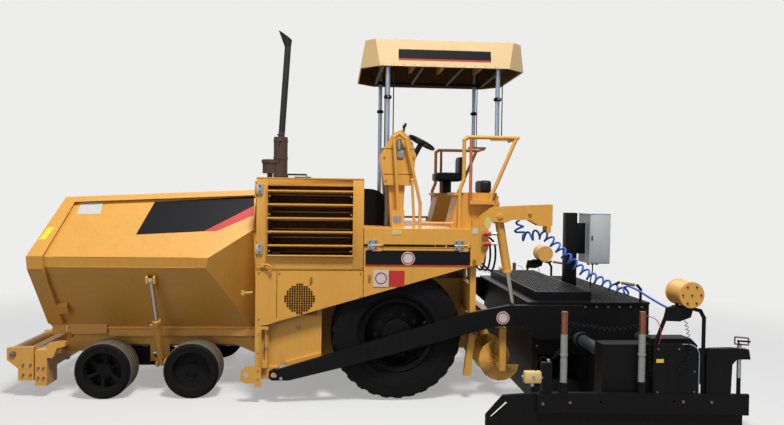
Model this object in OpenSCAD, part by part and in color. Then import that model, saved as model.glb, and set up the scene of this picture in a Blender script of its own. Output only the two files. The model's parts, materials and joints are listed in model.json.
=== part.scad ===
// Wheeled asphalt paver with a folding hopper and an extending screed.
// X runs from the hopper back to the screed and Z is up. The machine's left side is at -Y.
// Places along X are written from the drive axle, and machine() moves them to the middle of the whole.

/* [Overall] */
// Front end of the push beam, ahead of the drive axle
front_x = -3900; // [-4000:10:-3880]
// Rear end of the end gates, behind the drive axle
rear_x = 3060; // [3040:10:3120]
// Width over the tow arms
body_w = 2550; // [2540:10:2600]
// Thickness of sheet panels
sheet_t = 12; // [8:1:14]
// Thickness of frame plates
plate_t = 25; // [20:1:30]
// Clearance beside moving pieces
gap = 10; // [6:1:12]
// Radial running clearance of pins and shafts
run_gap = 0.06; // [0.03:0.01:0.1]

/* [Drive wheels] */
// Diameter over the lugs of a drive tyre
drive_d = 1340; // [1320:10:1360]
// Width of a drive tyre
drive_w = 350; // [330:5:360]
// Diameter of a drive rim under the tyre's bead
drive_rim_d = 690; // [670:10:710]
// Diameter of the drive axle's spindle
spindle_d = 120; // [100:5:140]
// Height of the tyre's lugs
lug_h = 26; // [20:1:30]
// Lugs on each half of the tread
lug_count = 30; // [20:1:36]
// Width of a lug
lug_w = 62; // [50:2:70]
// Lean of the lugs across the tread, in degrees
lug_lean = 24; // [15:1:30]

/* [Front wheels] */
// Distance between the two wheels of a bogie
bogie_pitch = 870; // [860:5:890]
// Diameter of a front tyre
front_d = 560; // [540:5:570]
// Width of a front tyre
front_w = 305; // [290:5:310]
// Diameter of a front rim
front_rim_d = 406; // [390:2:420]
// Distance of a front wheel's middle from the centre line
front_y = 900; // [895:5:905]
// Distance of a kingpin from the centre line
kingpin_y = 680; // [675:1:685]
// Diameter of a kingpin
kingpin_d = 50; // [40:2:56]
// Diameter of a front wheel's stub axle
stub_d = 60; // [50:2:70]

/* [Frame and conveyor] */
// Distance of the main frame's outer face from the centre line
frame_y = 630; // [625:1:635]
// Top of the plates over the conveyor tunnel
tunnel_top = 1180; // [1170:2:1190]
// Top of the conveyor floor
floor_z = 590; // [580:2:600]
// Distance from the chain's pitch line to its wheels' middle
chain_r = 75; // [70:1:80]
// Spacing of the conveyor flights
flight_pitch = 290; // [200:10:400]
// Diameter of the push rollers
roller_d = 130; // [110:5:140]
// Height of the push rollers' shaft
roller_z = 440; // [430:2:450]

/* [Hopper] */
// Height of the wings' hinge line
hinge_z = 650; // [645:1:660]
// Distance of the wings' hinge line from the centre line
hinge_y = 672; // [670:1:680]
// Diameter of the wings' hinge pins
hinge_d = 30; // [24:1:34]
// Rear edge of the hopper wings
wing_rear_x = -1456; // [-1465:1:-1450]
// Height of the outer crease of a wing
crease_z = 1445; // [1420:5:1470]
// Height of the strip under the crease
crease_h = 100; // [80:5:120]
// Distance of the top rim from the centre line
rim_y = 775; // [750:5:800]
// Height of the top rim at its rear end
rim_z = 2120; // [2100:5:2140]
// Fall of the top rim toward the front
rim_fall = 100; // [60:5:120]
// Setback of the top rim's front end behind the wing's front edge
rim_rake = 220; // [180:5:240]
// Width of the frame round the wing's front edge
wing_frame_w = 150; // [120:5:160]
// Height that the wing's frame stands proud of its panels
wing_frame_t = 35; // [20:1:40]

/* [Wing cylinders] */
// Diameter of a wing cylinder
wing_cyl_d = 80; // [60:2:84]
// Diameter of its rod
wing_rod_d = 40; // [30:2:50]
// Length of its barrel
wing_cyl_l = 540; // [500:10:560]

/* [Engine house and deck] */
// Front face of the engine house
house_front_x = -1410; // [-1415:1:-1405]
// Rear face of the engine house
house_rear_x = -350; // [-360:2:-340]
// Top of the engine house
house_z = 2242; // [2220:2:2260]
// Bottom of the louvred doors
house_door_z = 1332; // [1325:1:1340]
// Top of the operator's deck
deck_z = 1750; // [1740:2:1760]
// Rear end of the operator's deck
deck_rear_x = 815; // [805:1:820]
// Bottom of the deck's side plate
deck_skirt_z = 1592; // [1585:1:1600]
// Slope of the side panels' lower edge, in degrees
panel_slope = 16.1; // [15:0.1:17]
// Diameter of the round air grille in a side panel
grille_d = 310; // [260:10:320]
// Spacing of the grille's square holes
grille_pitch = 23.5; // [20:0.5:30]

/* [Canopy] */
// Top of the canopy
canopy_z = 3748; // [3700:2:3800]
// Height of the canopy's side
canopy_h = 290; // [250:5:320]
// Front edge of the canopy
canopy_front_x = -385; // [-420:5:-350]
// Rear edge of the canopy
canopy_rear_x = 1420; // [1380:5:1440]
// Width of the canopy
canopy_w = 1500; // [1450:10:1560]
// Cut across the canopy's corners
canopy_cut = 205; // [150:5:250]
// Inward lean of the canopy's sides over their height
canopy_lean = 50; // [30:5:70]
// Diameter of the canopy posts
post_d = 48; // [40:1:60]

/* [Exhaust] */
// Diameter of the muffler
muffler_d = 165; // [150:5:200]
// Diameter of the stack
stack_d = 76; // [60:2:90]
// Top of the stack's straight pipe
stack_z = 3840; // [3800:10:3900]
// Lean of the stack, in degrees
stack_lean = 3.5; // [0:0.5:5]

/* [Screed] */
// Tow pin, ahead of the drive axle
tow_x = -1225; // [-1230:1:-1220]
// Height of the tow pin
tow_z = 292; // [285:1:300]
// Diameter of the tow pin
tow_pin_d = 50; // [40:2:60]
// Thickness of a tow arm
arm_t = 60; // [40:2:64]
// Front face of the screed's frame
screed_front_x = 1390; // [1380:5:1400]
// Rear face of the screed's frame
screed_rear_x = 2620; // [2610:5:2630]
// Top of the screed's frame
screed_z = 1010; // [1000:5:1030]
// Diameter of the extension tubes
tube_d = 110; // [90:5:114]
// How far an extension is drawn out
reach = 1000; // [900:10:1040]
// Length of an extension along its tubes
ext_len = 1180; // [1120:10:1200]

/* [Lift cylinders] */
// Diameter of a lift cylinder
lift_cyl_d = 90; // [70:2:92]
// Diameter of its rod
lift_rod_d = 45; // [30:2:48]
// Length of its barrel
lift_cyl_l = 590; // [560:5:600]

/* [Augers] */
// Diameter of an auger
auger_d = 380; // [340:5:390]
// Place of the augers behind the drive axle
auger_x = 1090; // [1086:1:1092]
// Height of the augers' shaft
auger_z = 340; // [336:1:344]

/* [Hidden] */
$fn = 48;

yellow = "#c8922e";
black = "#1b1c1e";
grey = "#8d8f90";

// Widths that follow from the width over the tow arms
half_w = body_w / 2;
arm_out = half_w;
arm_in = arm_out - arm_t;
skin_y = half_w - 25;
skin_in = skin_y - sheet_t;
crease_y = half_w - 10;
screed_half = arm_in - 25;
lift_y = -(arm_in - 35);
post_out = skin_y - 70;
post_in = skin_y - 140;
tyre_out = arm_in - 3 * gap;
tyre_y = tyre_out - drive_w / 2;
frame_in = frame_y - plate_t;

// Places that follow from the front end of the push beam
wing_front_x = front_x + 330;
frame_front_x = wing_front_x + 140;
bogie_x = round(front_x * 0.641);
wing_cyl_x = bogie_x + 70;
wheel_1_x = bogie_x - bogie_pitch / 2;
wheel_2_x = bogie_x + bogie_pitch / 2;
kingpin_in = kingpin_y - 80;
axle_z = drive_d / 2;
front_z = front_d / 2;
rear_wall_x = deck_rear_x - 15;
rear_wall_z = 980;

// Places the whole machine so that its middle lies over the origin
module machine() translate([-(front_x + rear_x) / 2, 0, 0]) children();

// A copy on each side of the machine
module both() {
    children();
    mirror([0, 1, 0]) children();
}

// The other half of a wheel's tread
module flip(on) {
    if (on) mirror([0, 0, 1]) children();
    else children();
}

// A right-hand piece, drawn as the mirror of the left-hand one
module on_side(right) {
    if (right) mirror([0, 1, 0]) children();
    else children();
}

// A block between two opposite corners
module block(low, high) translate(low) cube(high - low);

// An outline of X and Z, given thickness from y0 to y1
module xz(y0, y1) translate([0, y1, 0]) rotate([90, 0, 0]) linear_extrude(y1 - y0) children();

// An outline of Y and Z, given thickness from x0 to x1
module yz(x0, x1) translate([x0, 0, 0]) rotate([90, 0, 90]) linear_extrude(x1 - x0) children();

// A round bar across the machine
module pin_y(x, z, y0, y1, d) translate([x, y1, z]) rotate([90, 0, 0]) cylinder(d = d, h = y1 - y0);

// A round bar along the machine
module pin_x(y, z, x0, x1, d) translate([x0, y, z]) rotate([0, 90, 0]) cylinder(d = d, h = x1 - x0);

// A round bar from one point to another
module bar(a, b, d) {
    v = b - a;
    translate(a) rotate([0, acos(v[2] / norm(v)), atan2(v[1], v[0])]) cylinder(d = d, h = norm(v));
}

// A bent tube through a list of points
module tube_path(points, d) {
    for (i = [0 : len(points) - 2]) bar(points[i], points[i + 1], d);
    for (i = [1 : len(points) - 2]) translate(points[i]) sphere(d = d + 3, $fn = 24);
}

// Point b moved inward by t between its neighbours a and c, on a path whose inner side is on its right
function unit(v) = v / norm(v);
function right_of(v) = [v[1], -v[0]];
function inset(a, b, c, t) =
    let (n1 = right_of(unit(b - a)), n2 = right_of(unit(c - b)))
    b + (n1 + n2) * t / (1 + n1 * n2);

// Points on an arc of an outline, from angle a0 to angle a1
function arc(centre, r, a0, a1, steps) =
    [for (i = [0 : steps]) let (a = a0 + (a1 - a0) * i / steps) centre + r * [cos(a), sin(a)]];

// Height of the side panels' slanted lower edge at a place along the machine
function skirt_z(x) = 1062 + (x - house_rear_x) * tan(panel_slope);

// Drive wheels: a smooth carcass with slanted lugs on each half of the tread
module drive_tyre() {
    r = drive_d / 2;
    core = r - lug_h;
    w = drive_w / 2;
    bead = drive_rim_d / 2;
    color(black) machine() translate([0, -tyre_y, axle_z]) rotate([90, 0, 0]) {
        rotate_extrude($fn = 96) polygon([[bead, -w * 0.72], [bead + 70, -w * 0.97], [bead + 170, -w],
            [core - 34, -w * 0.95], [core, -w * 0.78], [core, w * 0.78], [core - 34, w * 0.95],
            [bead + 170, w], [bead + 70, w * 0.97], [bead, w * 0.72]]);
        for (side = [0, 1], i = [0 : lug_count - 1])
            rotate([0, 0, (i + side / 2) * 360 / lug_count]) flip(side > 0) rotate([lug_lean, 0, 0])
                xz(-lug_w / 2, lug_w / 2) polygon([[core - 14, 12], [r - 2, 12], [r - 7, w * 0.62],
                    [r - 30, w * 0.9], [r - 92, w * 1.01], [r - 104, w * 0.9], [core - 14, w * 0.7]]);
    }
}

module drive_rim() {
    bead = drive_rim_d / 2;
    w = drive_w / 2;
    wall = 16;
    lip = 24;
    disc_y = -40;
    hub_r = 120;
    dish = 60;
    color(black) machine() translate([0, -tyre_y, axle_z]) rotate([90, 0, 0]) difference() {
        union() {
            rotate_extrude($fn = 96) polygon([[bead, -w * 0.72], [bead, w * 0.72], [bead + lip, w * 0.88],
                [bead + lip, w * 0.96], [bead - wall, w * 0.82], [bead - wall, disc_y + wall],
                [hub_r, disc_y + wall + dish], [hub_r, disc_y + dish], [bead - wall, disc_y],
                [bead - wall, -w * 0.82], [bead + lip, -w * 0.96], [bead + lip, -w * 0.88]]);
            translate([0, 0, -120]) cylinder(r = hub_r + 30, h = 240);
        }
        translate([0, 0, -121]) cylinder(d = spindle_d + 2 * run_gap, h = 222);
    }
}

module drive_axle() color(black) machine() both() {
    pin_y(0, axle_z, -(tyre_y - 126), -frame_in, spindle_d + 140);
    pin_y(0, axle_z, -(frame_y + 20), -frame_y, spindle_d + 200);
    pin_y(0, axle_z, -(tyre_y + 100), -(tyre_y - 127), spindle_d);
}

// Front wheels, with the dished disc and the hub in one piece with the tyre, and windows in the disc
module front_wheel(x, windows) {
    r = front_d / 2;
    w = front_w / 2;
    rim = front_rim_d / 2;
    wall = 14;
    hub_r = 62;
    color(black) machine() translate([x, -front_y, front_z]) rotate([90, 0, 0]) difference() {
        rotate_extrude($fn = 72) polygon([[stub_d / 2 + run_gap, 10], [hub_r, 10], [hub_r, 60], [rim - wall, 80],
            [rim - wall, -w], [rim, -w], [r - 40, -w], [r, -w + 28], [r, w - 28], [r - 40, w], [rim, w],
            [rim - wall, w], [rim - wall, 98], [hub_r, 82], [hub_r, 92], [stub_d / 2 + run_gap, 92]]);
        if (windows > 0) for (i = [0 : windows - 1]) rotate([0, 0, (i + 0.5) * 360 / windows])
            rotate_extrude(angle = 46) translate([hub_r + 18, 40]) square([rim - wall - hub_r - 32, 80]);
    }
}

// A steering knuckle: two ears on the kingpin, a plate inside the wheel and the stub axle
module knuckle(x) {
    ear_h = 26;
    half_h = 46;
    ear_w = 90;
    plate_y = front_y - front_w / 2 + 26;
    color(black) machine() difference() {
        union() {
            for (z = [-half_h - ear_h, half_h]) {
                translate([x, -kingpin_y, front_z + z]) cylinder(d = ear_w, h = ear_h);
                block([x - ear_w / 2, -plate_y - 1, front_z + z], [x + ear_w / 2, -kingpin_y, front_z + z + ear_h]);
            }
            pin_y(x, front_z, -plate_y - 20, -plate_y, 2 * ear_w);
            pin_y(x, front_z, -(front_y + 88), -plate_y - 19, stub_d);
            pin_y(x, front_z, -(front_y - 12), -plate_y - 19, stub_d + 40);
        }
        translate([x, -kingpin_y, front_z - 100]) cylinder(d = kingpin_d + 2 * run_gap, h = 200);
    }
}

pivot_z = 365;
pivot_d = 80;
boss_d = 90;
module bogie_beams() color(black) machine() both() {
    xz(-kingpin_in, -(kingpin_in - 70)) polygon([[wheel_1_x - 60, front_z - 40],
        [wheel_2_x + 60, front_z - 40], [wheel_2_x + 60, front_z + 40], [bogie_x + 130, pivot_z + 60],
        [bogie_x - 130, pivot_z + 60], [wheel_1_x - 60, front_z + 40]]);
    for (x = [wheel_1_x, wheel_2_x]) {
        translate([x, -kingpin_y, front_z - 40]) cylinder(d = boss_d, h = 80);
        block([x - boss_d / 2, -kingpin_y, front_z - 40], [x + boss_d / 2, -kingpin_in + 1, front_z + 40]);
        translate([x, -kingpin_y, front_z - 72]) cylinder(d = kingpin_d, h = 144);
    }
    pin_y(bogie_x, pivot_z, -frame_in, -kingpin_in + 1, pivot_d + 40);
    pin_y(bogie_x, pivot_z, -(frame_y - 2), -kingpin_in + 1, pivot_d);
}

// Main frame: two long plates with the wings' hinge pins, the bogie plates and the wing cylinders' feet
lug_t = 40;
lug_xs = [wing_front_x + 160, (wing_front_x + wing_rear_x) / 2, wing_rear_x - 60];
guard_rib_pitch = 280;
module chassis_frame() color(yellow) machine() both() {
    difference() {
        xz(-frame_y, -frame_in) polygon([[frame_front_x, 400], [frame_front_x, hinge_z - 20],
            [house_front_x, hinge_z - 20], [house_front_x, tunnel_top], [rear_wall_x - plate_t, tunnel_top],
            [rear_wall_x - plate_t, rear_wall_z], [rear_wall_x, rear_wall_z], [rear_wall_x, 420], [300, 420],
            [-300, 340], [-1400, 340], [-1700, 470], [frame_front_x + 280, 470], [frame_front_x + 230, 400]]);
        pin_y(0, axle_z, -frame_y - 1, -frame_in + 1, spindle_d + 140.6);
    }
    // Hinge pin of the hopper wing and the lugs that carry it
    pin_x(-hinge_y, hinge_z, lug_xs[0], wing_rear_x - 20, hinge_d);
    for (x = lug_xs) yz(x, x + lug_t) polygon([[-frame_y + 1, hinge_z - 120], [-frame_y + 1, hinge_z - 20],
        [-hinge_y + 10, hinge_z - 5], [-hinge_y - 10, hinge_z - 5], [-hinge_y - 16, hinge_z - 40]]);
    // Guard rail under the wing's hinge, on ribs
    block([wing_front_x + 590, -hinge_y - 42, hinge_z - 78], [wing_rear_x - 10, -hinge_y - 32, hinge_z - 10]);
    for (x = [wing_front_x + 600 : guard_rib_pitch : wing_rear_x - 80])
        if (min([for (l = lug_xs) abs(x - l)]) > 60)
            block([x, -hinge_y - 33, hinge_z - 78], [x + sheet_t, -frame_y + 1, hinge_z - 48]);
    // Plate that carries the bogie's pivot, and the foot bracket of the wing cylinder on it
    difference() {
        block([bogie_x - 75, -frame_y, pivot_z - 75], [bogie_x + 125, -frame_in, 472]);
        pin_y(bogie_x, pivot_z, -frame_y - 1, -frame_in + 1, pivot_d + 0.6);
    }
    for (x = [-52, 27]) {
        pin_x(wing_foot[0], wing_foot[1], wing_cyl_x + x, wing_cyl_x + x + plate_t, 90);
        block([wing_cyl_x + x, wing_foot[0], wing_foot[1] - 10],
            [wing_cyl_x + x + plate_t, -frame_y + 1, wing_foot[1] + 45]);
    }
    pin_x(wing_foot[0], wing_foot[1], wing_cyl_x - 52, wing_cyl_x + 52, foot_pin_d);
}

// What joins the two long plates: front plate, cross block, conveyor tunnel's roof and rear wall
module cross_members() color(yellow) machine() {
    block([frame_front_x, -frame_in, 400], [frame_front_x + plate_t, frame_in, hinge_z - 20]);
    block([bogie_x - 60, -frame_in, 476], [bogie_x + 90, frame_in, 546]);
    block([house_front_x, -frame_in, tunnel_top - sheet_t], [rear_wall_x - plate_t - gap, frame_in, tunnel_top]);
    block([house_front_x, -frame_in, tunnel_top - sheet_t], [house_front_x + sheet_t, frame_in, tunnel_top + 1]);
    block([house_front_x, -frame_y, tunnel_top], [house_front_x + sheet_t, frame_y, house_door_z - 2]);
    block([rear_wall_x - plate_t, -frame_y, rear_wall_z], [rear_wall_x, frame_y, deck_z - 20]);
    block([rear_wall_x - plate_t, -60, 640], [rear_wall_x, 60, rear_wall_z + 1]);
}

// Brackets outside the long plates: the tow brackets with the side boxes in front, and the rear posts
box_x = [-1280, -760];
box_y = skin_y - 100;
box_z = [360, 960];
eye_x = house_front_x - 90;
eye_z = 285;
eye_d = 56;
module side_brackets() color(yellow) machine() both() {
    // Box beside the frame, ahead of the drive wheel, with the slanted strip on its face
    block([box_x[0], -box_y, box_z[0]], [box_x[1], -frame_y, box_z[1]]);
    xz(-box_y - 40, -box_y + 1) polygon([[-1116, 403], [-762, 493], [-762, 422], [-1100, 362]]);
    // Front wall of the tractor, behind the hopper
    block([house_front_x, -skin_y, 760], [house_front_x + sheet_t, -frame_y, house_door_z - 2]);
    block([house_front_x, -skin_y, 170], [house_front_x + 62, -skin_y + plate_t, 780]);
    block([house_front_x, -skin_y, 740], [box_x[0], -post_in, 770]);
    // Tow bracket that holds the tow pin, the adjusting rod above it and the tie-down eye ahead of it
    block([house_front_x + 20, -arm_in + 25, 240], [box_x[0], -post_in, 760]);
    xz(-arm_in + 12, -post_in) polygon([[-1390, 240], [-1390, 360], [-1190, 360], [-1160, tow_z], [-1190, 235]]);
    block([-1300, -box_y + 1, 300], [-1240, -post_in + 1, 361]);
    pin_y(tow_x, tow_z, -arm_out, -post_in - 10, tow_pin_d);
    translate([box_x[0] - 25, -skin_y + 40, 359]) cylinder(d = 24, h = 400);
    block([box_x[0] - 60, -skin_y + 10, 355], [box_x[0] - 10, -post_in - 10, 420]);
    difference() {
        xz(-skin_y, -skin_y + plate_t) polygon([[eye_x - 50, 230], [eye_x - 50, 320], [eye_x, 372],
            [house_front_x + 1, 372], [house_front_x + 1, 205], [eye_x, 205]]);
        pin_y(eye_x, eye_z, -skin_y - 1, -skin_y + plate_t + 1, eye_d);
    }
    // Rear post behind the drive wheel
    xz(-post_out, -post_in) polygon([[740, deck_z - 20], [rear_wall_x, deck_z - 20], [rear_wall_x, 640],
        [780, 480], [765, 250], [690, 250], [715, 480], [740, 640]]);
    block([740, -post_in - 1, 900], [rear_wall_x, -frame_y, 1180]);
}

// Fixed lower side panels, with the slanted edge above the drive wheels and the round grille
grille_at = [-977, 1047];
grille_hole = 15;
module grille_holes() {
    n = floor(grille_d / 2 / grille_pitch);
    for (i = [-n : n], j = [-n : n]) if (norm([i, j]) * grille_pitch < grille_d / 2 - grille_hole / 2)
        translate(grille_at + grille_pitch * [i, j]) square(grille_hole, center = true);
}

module side_panels() color(yellow) machine() both() {
    xz(-skin_y, -skin_in) difference() {
        polygon([[house_front_x + sheet_t, 782], [house_front_x + sheet_t, house_door_z - 2],
            [house_rear_x - 2, house_door_z - 2], [house_rear_x - 2, skirt_z(house_rear_x - 2)],
            [-1205, skirt_z(-1205)], [-1300, 782]]);
        grille_holes();
    }
    xz(-skin_y, -skin_in) polygon([[722, skirt_z(722)], [722, deck_skirt_z], [rear_wall_x, deck_skirt_z],
        [rear_wall_x, skirt_z(rear_wall_x)]]);
    block([-560, -skin_in - 1, 1140], [-520, -frame_y, 1180]);
    block([rear_wall_x - 60, -skin_in - 1, 1400], [rear_wall_x, -post_out, 1440]);
}

// Slat conveyors: two loops of chain on each side of the middle, floor plate and flights
chain_x = [frame_front_x + 130, rear_wall_x - 80];
chain_z = floor_z - 60;
chain_t = 26;
module chain_loop(y0, y1) {
    outer = chain_r + chain_t / 2;
    inner = chain_r - chain_t / 2;
    long = chain_x[1] - chain_x[0];
    xz(y0, y1) difference() {
        union() {
            for (x = chain_x) translate([x, chain_z]) circle(r = outer);
            translate([chain_x[0], chain_z - outer]) square([long, 2 * outer]);
        }
        for (x = chain_x) translate([x, chain_z]) circle(r = inner);
        translate([chain_x[0], chain_z - inner]) square([long, 2 * inner]);
    }
}

module conveyor() color(grey) machine() {
    wide = frame_in - gap;
    flight_w = 40;
    both() {
        for (y = [20, wide - 40]) chain_loop(-y - 30, -y);
        for (x = [chain_x[0] + 60 : flight_pitch : chain_x[1] - 60], z = [chain_r + 5, -chain_r - 5])
            block([x, -wide, chain_z + z - chain_t / 2], [x + flight_w, -20, chain_z + z + chain_t / 2]);
        block([chain_x[0] + 100, -wide + 60, floor_z - 20], [chain_x[1] - 100, -70, floor_z - 8]);
    }
    for (x = chain_x) pin_y(x, chain_z, -frame_in, frame_in, 2 * chain_r - chain_t + 2);
    for (x = [chain_x[0] + 300, (chain_x[0] + chain_x[1]) / 2 - 210, chain_x[1] - 300])
        block([x, -frame_in, floor_z - 34], [x + 60, frame_in, floor_z - 19]);
}

// Push beam with its end plates, and the rollers that run between them
roller_x = front_x + 60;
roller_pin_d = 40;
roller_ends = [35, 885];
beam_back_x = front_x + 260;
module push_beam() color(yellow) machine() {
    end_t = 60;
    block([beam_back_x - 90, -860, 190], [beam_back_x, 860, 480]);
    for (y = [-roller_ends[1] - 65, -end_t / 2, roller_ends[1] + 5]) difference() {
        xz(y, y + end_t) polygon([[front_x, roller_z - 60], [front_x, roller_z + 60],
            [beam_back_x, roller_z + 70], [beam_back_x, 170], [front_x + 110, 170], [front_x + 110, 290]]);
        pin_y(roller_x, roller_z, y - 1, y + end_t + 1, roller_pin_d);
    }
    pin_y(roller_x, roller_z, -roller_ends[1] - 65, roller_ends[1] + 65, roller_pin_d);
    both() {
        block([beam_back_x - 1, -800, 220], [beam_back_x + 40, -740, 440]);
        block([beam_back_x + 18, -960, 118], [beam_back_x + 134, -700, 481]);
        block([beam_back_x + 133, -800, 410], [frame_front_x, -560, 468]);
        // Hooked bracket behind the end plate
        xz(-960, -880) polygon([[beam_back_x + 133, 400], [beam_back_x + 133, 540], [beam_back_x + 220, 560],
            [beam_back_x + 310, 560], [beam_back_x + 310, 520], [beam_back_x + 230, 500], [beam_back_x + 190, 400]]);
    }
}

module push_roller() color(yellow) machine() difference() {
    pin_y(roller_x, roller_z, -roller_ends[1], -roller_ends[0], roller_d);
    pin_y(roller_x, roller_z, -roller_ends[1] - 1, -roller_ends[0] + 1, roller_pin_d + 2 * run_gap);
}

// A hopper wing, as a shell between an outer prism and the same prism moved inward
hinge_p = [-hinge_y, hinge_z];
low_p = [-(crease_y - 20), crease_z - crease_h];
crease_p = [-crease_y, crease_z];
rim_p = [-rim_y, rim_z];
function wing_outline(t) = [
    hinge_p + right_of(unit(low_p - hinge_p)) * t, inset(hinge_p, low_p, crease_p, t),
    inset(low_p, crease_p, rim_p, t), rim_p + right_of(unit(rim_p - crease_p)) * t];

// A point on the wing's lower panel, s up from the hinge and n inside its outer face
wing_dir_low = unit(low_p - hinge_p);
function wing_at(s, n) = hinge_p + s * wing_dir_low + n * right_of(wing_dir_low);

// The wing's side view, moved back by dx, with its raked front edge
module wing_side(dx, top) {
    rear = wing_rear_x + (top > 0 ? 10 : 0);
    xz(-2000, 0) polygon([[wing_front_x + dx, 0], [wing_front_x + dx, crease_z],
        [wing_front_x + rim_rake + dx, rim_z - rim_fall], [rear, rim_z + top], [rear, 0]]);
}

// The cut across the wing's lower rear corner, moved inward by t
module wing_corner_cut(t) {
    a = [wing_rear_x - 411, -crease_y, crease_z];
    b = [wing_rear_x, -(crease_y - 195), 1720];
    c = [wing_rear_x - 294, -(crease_y - 223), 1100];
    n = unit(cross(c - a, b - a));
    m = n[0] > 0 ? n : -n;
    translate(a - m * t) rotate([0, acos(m[2]), atan2(m[1], m[0])])
        translate([-3000, -3000, 0]) cube([6000, 6000, 1500]);
}

module wing_prism(t, dx, top) difference() {
    intersection() {
        p = wing_outline(t);
        yz(wing_front_x - 10, wing_rear_x + 20) polygon(t > 0
            ? concat(p, [[100, rim_z + 200], [100, hinge_z - 5]])
            : concat(p, [[-hinge_y + 22, hinge_z + 60]]));
        wing_side(dx, top);
    }
    wing_corner_cut(t);
}

// Frame round the wing's front edge and along its top rim
module wing_frame() {
    rim_front = [wing_front_x + rim_rake, rim_z - rim_fall];
    rim_h = 55;
    intersection() {
        yz(wing_front_x - 10, wing_rear_x + 20) polygon(concat(wing_outline(-wing_frame_t),
            [for (i = [3 : -1 : 0]) wing_outline(1)[i]]));
        union() {
            xz(-2000, 0) polygon([[wing_front_x, hinge_z + 60], [wing_front_x, crease_z], rim_front,
                rim_front + [wing_frame_w * 0.75, 0], [wing_front_x + wing_frame_w, crease_z],
                [wing_front_x + wing_frame_w, hinge_z + 60]]);
            xz(-2000, 0) polygon([rim_front, [wing_rear_x, rim_z], [wing_rear_x, rim_z - rim_h],
                rim_front - [20, rim_h]]);
        }
    }
}

hinge_tube_d = hinge_d + 24;
hinge_cut = hinge_tube_d / 2 + 0.5;
module hopper_wing() {
    color(yellow) machine() difference() {
        union() {
            difference() {
                wing_prism(0, 0, 0);
                wing_prism(sheet_t, sheet_t, 300);
            }
            wing_frame();
            // Apron below the panel at the front, and the gusset behind the frame
            block([wing_front_x + 20, -hinge_y - 40, hinge_z - 55], [wing_front_x + 570, -hinge_y - 28, hinge_z + 52]);
            yz(wing_front_x + wing_frame_w - 1, wing_front_x + 250)
                polygon([wing_at(250, 6), wing_at(400, 6), wing_at(385, -45), wing_at(270, -45)]);
            // Ears for the cylinder's rod, and the stiffener below them
            for (x = [-45, 25]) wing_ear(wing_cyl_x + x);
            pin_x(wing_eye[0], wing_eye[1], wing_cyl_x - 45, wing_cyl_x + 45, eye_pin_d);
            pin_x(-hinge_y, hinge_z, wing_front_x + 10, wing_rear_x - 10, hinge_tube_d);
        }
        pin_x(-hinge_y, hinge_z, wing_front_x, wing_rear_x + 30, hinge_d + 2 * run_gap);
        for (x = lug_xs) block([x - gap, -hinge_y - 150, hinge_z - 150],
            [x + lug_t + gap, -hinge_y + 60, hinge_z + 26]);
        block([wing_front_x - 20, -hinge_y - hinge_cut, hinge_z - 60], [lug_xs[0], -hinge_y + 60, hinge_z + 26]);
    }
}

// Wing cylinders, from the frame's foot bracket to the wing's ears
wing_foot = [-740, 300];
wing_eye = [-1195, 1215];
wing_dir = unit(wing_eye - wing_foot);
wing_cyl_end = wing_foot + wing_dir * wing_cyl_l;
eye_pin_d = 28;
foot_pin_d = 30;
// Room round the pin of a rod's eye
wing_drift = 9;
lift_drift = 5;

module wing_ear(x) yz(x, x + 20) polygon([[wing_eye[0] - 30, wing_eye[1] - 30], [wing_eye[0] + 30, wing_eye[1] - 34],
    [wing_eye[0] + 115, wing_eye[1] - 10], [wing_eye[0] + 40, wing_eye[1] + 85], [wing_eye[0] - 34, wing_eye[1] + 25]]);

function on_yz(x, p) = [x, p[0], p[1]];

module wing_barrel() color(yellow) machine() difference() {
    fork_gap = 20;
    union() {
        bar(on_yz(wing_cyl_x, wing_foot), on_yz(wing_cyl_x, wing_cyl_end), wing_cyl_d);
        bar(on_yz(wing_cyl_x, wing_cyl_end - wing_dir * 40), on_yz(wing_cyl_x, wing_cyl_end), wing_cyl_d + 10);
        pin_x(wing_foot[0], wing_foot[1], wing_cyl_x - fork_gap, wing_cyl_x + fork_gap, 70);
    }
    pin_x(wing_foot[0], wing_foot[1], wing_cyl_x - 60, wing_cyl_x + 60, foot_pin_d + 2 * run_gap);
    for (s = [-1, 1]) translate([wing_cyl_x + s * (fork_gap + 25), wing_foot[0], wing_foot[1]])
        rotate([atan2(-wing_dir[0], wing_dir[1]), 0, 0]) translate([-25, -60, -60]) cube([50, 120, 130]);
    bar(on_yz(wing_cyl_x, wing_foot + wing_dir * 60), on_yz(wing_cyl_x, wing_cyl_end + wing_dir),
        wing_rod_d + 2 * run_gap);
}

module wing_rod() color(grey) machine() difference() {
    union() {
        bar(on_yz(wing_cyl_x, wing_foot + wing_dir * 290), on_yz(wing_cyl_x, wing_eye), wing_rod_d);
        pin_x(wing_eye[0], wing_eye[1], wing_cyl_x - 18, wing_cyl_x + 18, eye_pin_d + 2 * wing_drift + 24);
    }
    pin_x(wing_eye[0], wing_eye[1], wing_cyl_x - 60, wing_cyl_x + 60, eye_pin_d + 2 * wing_drift);
}

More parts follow.
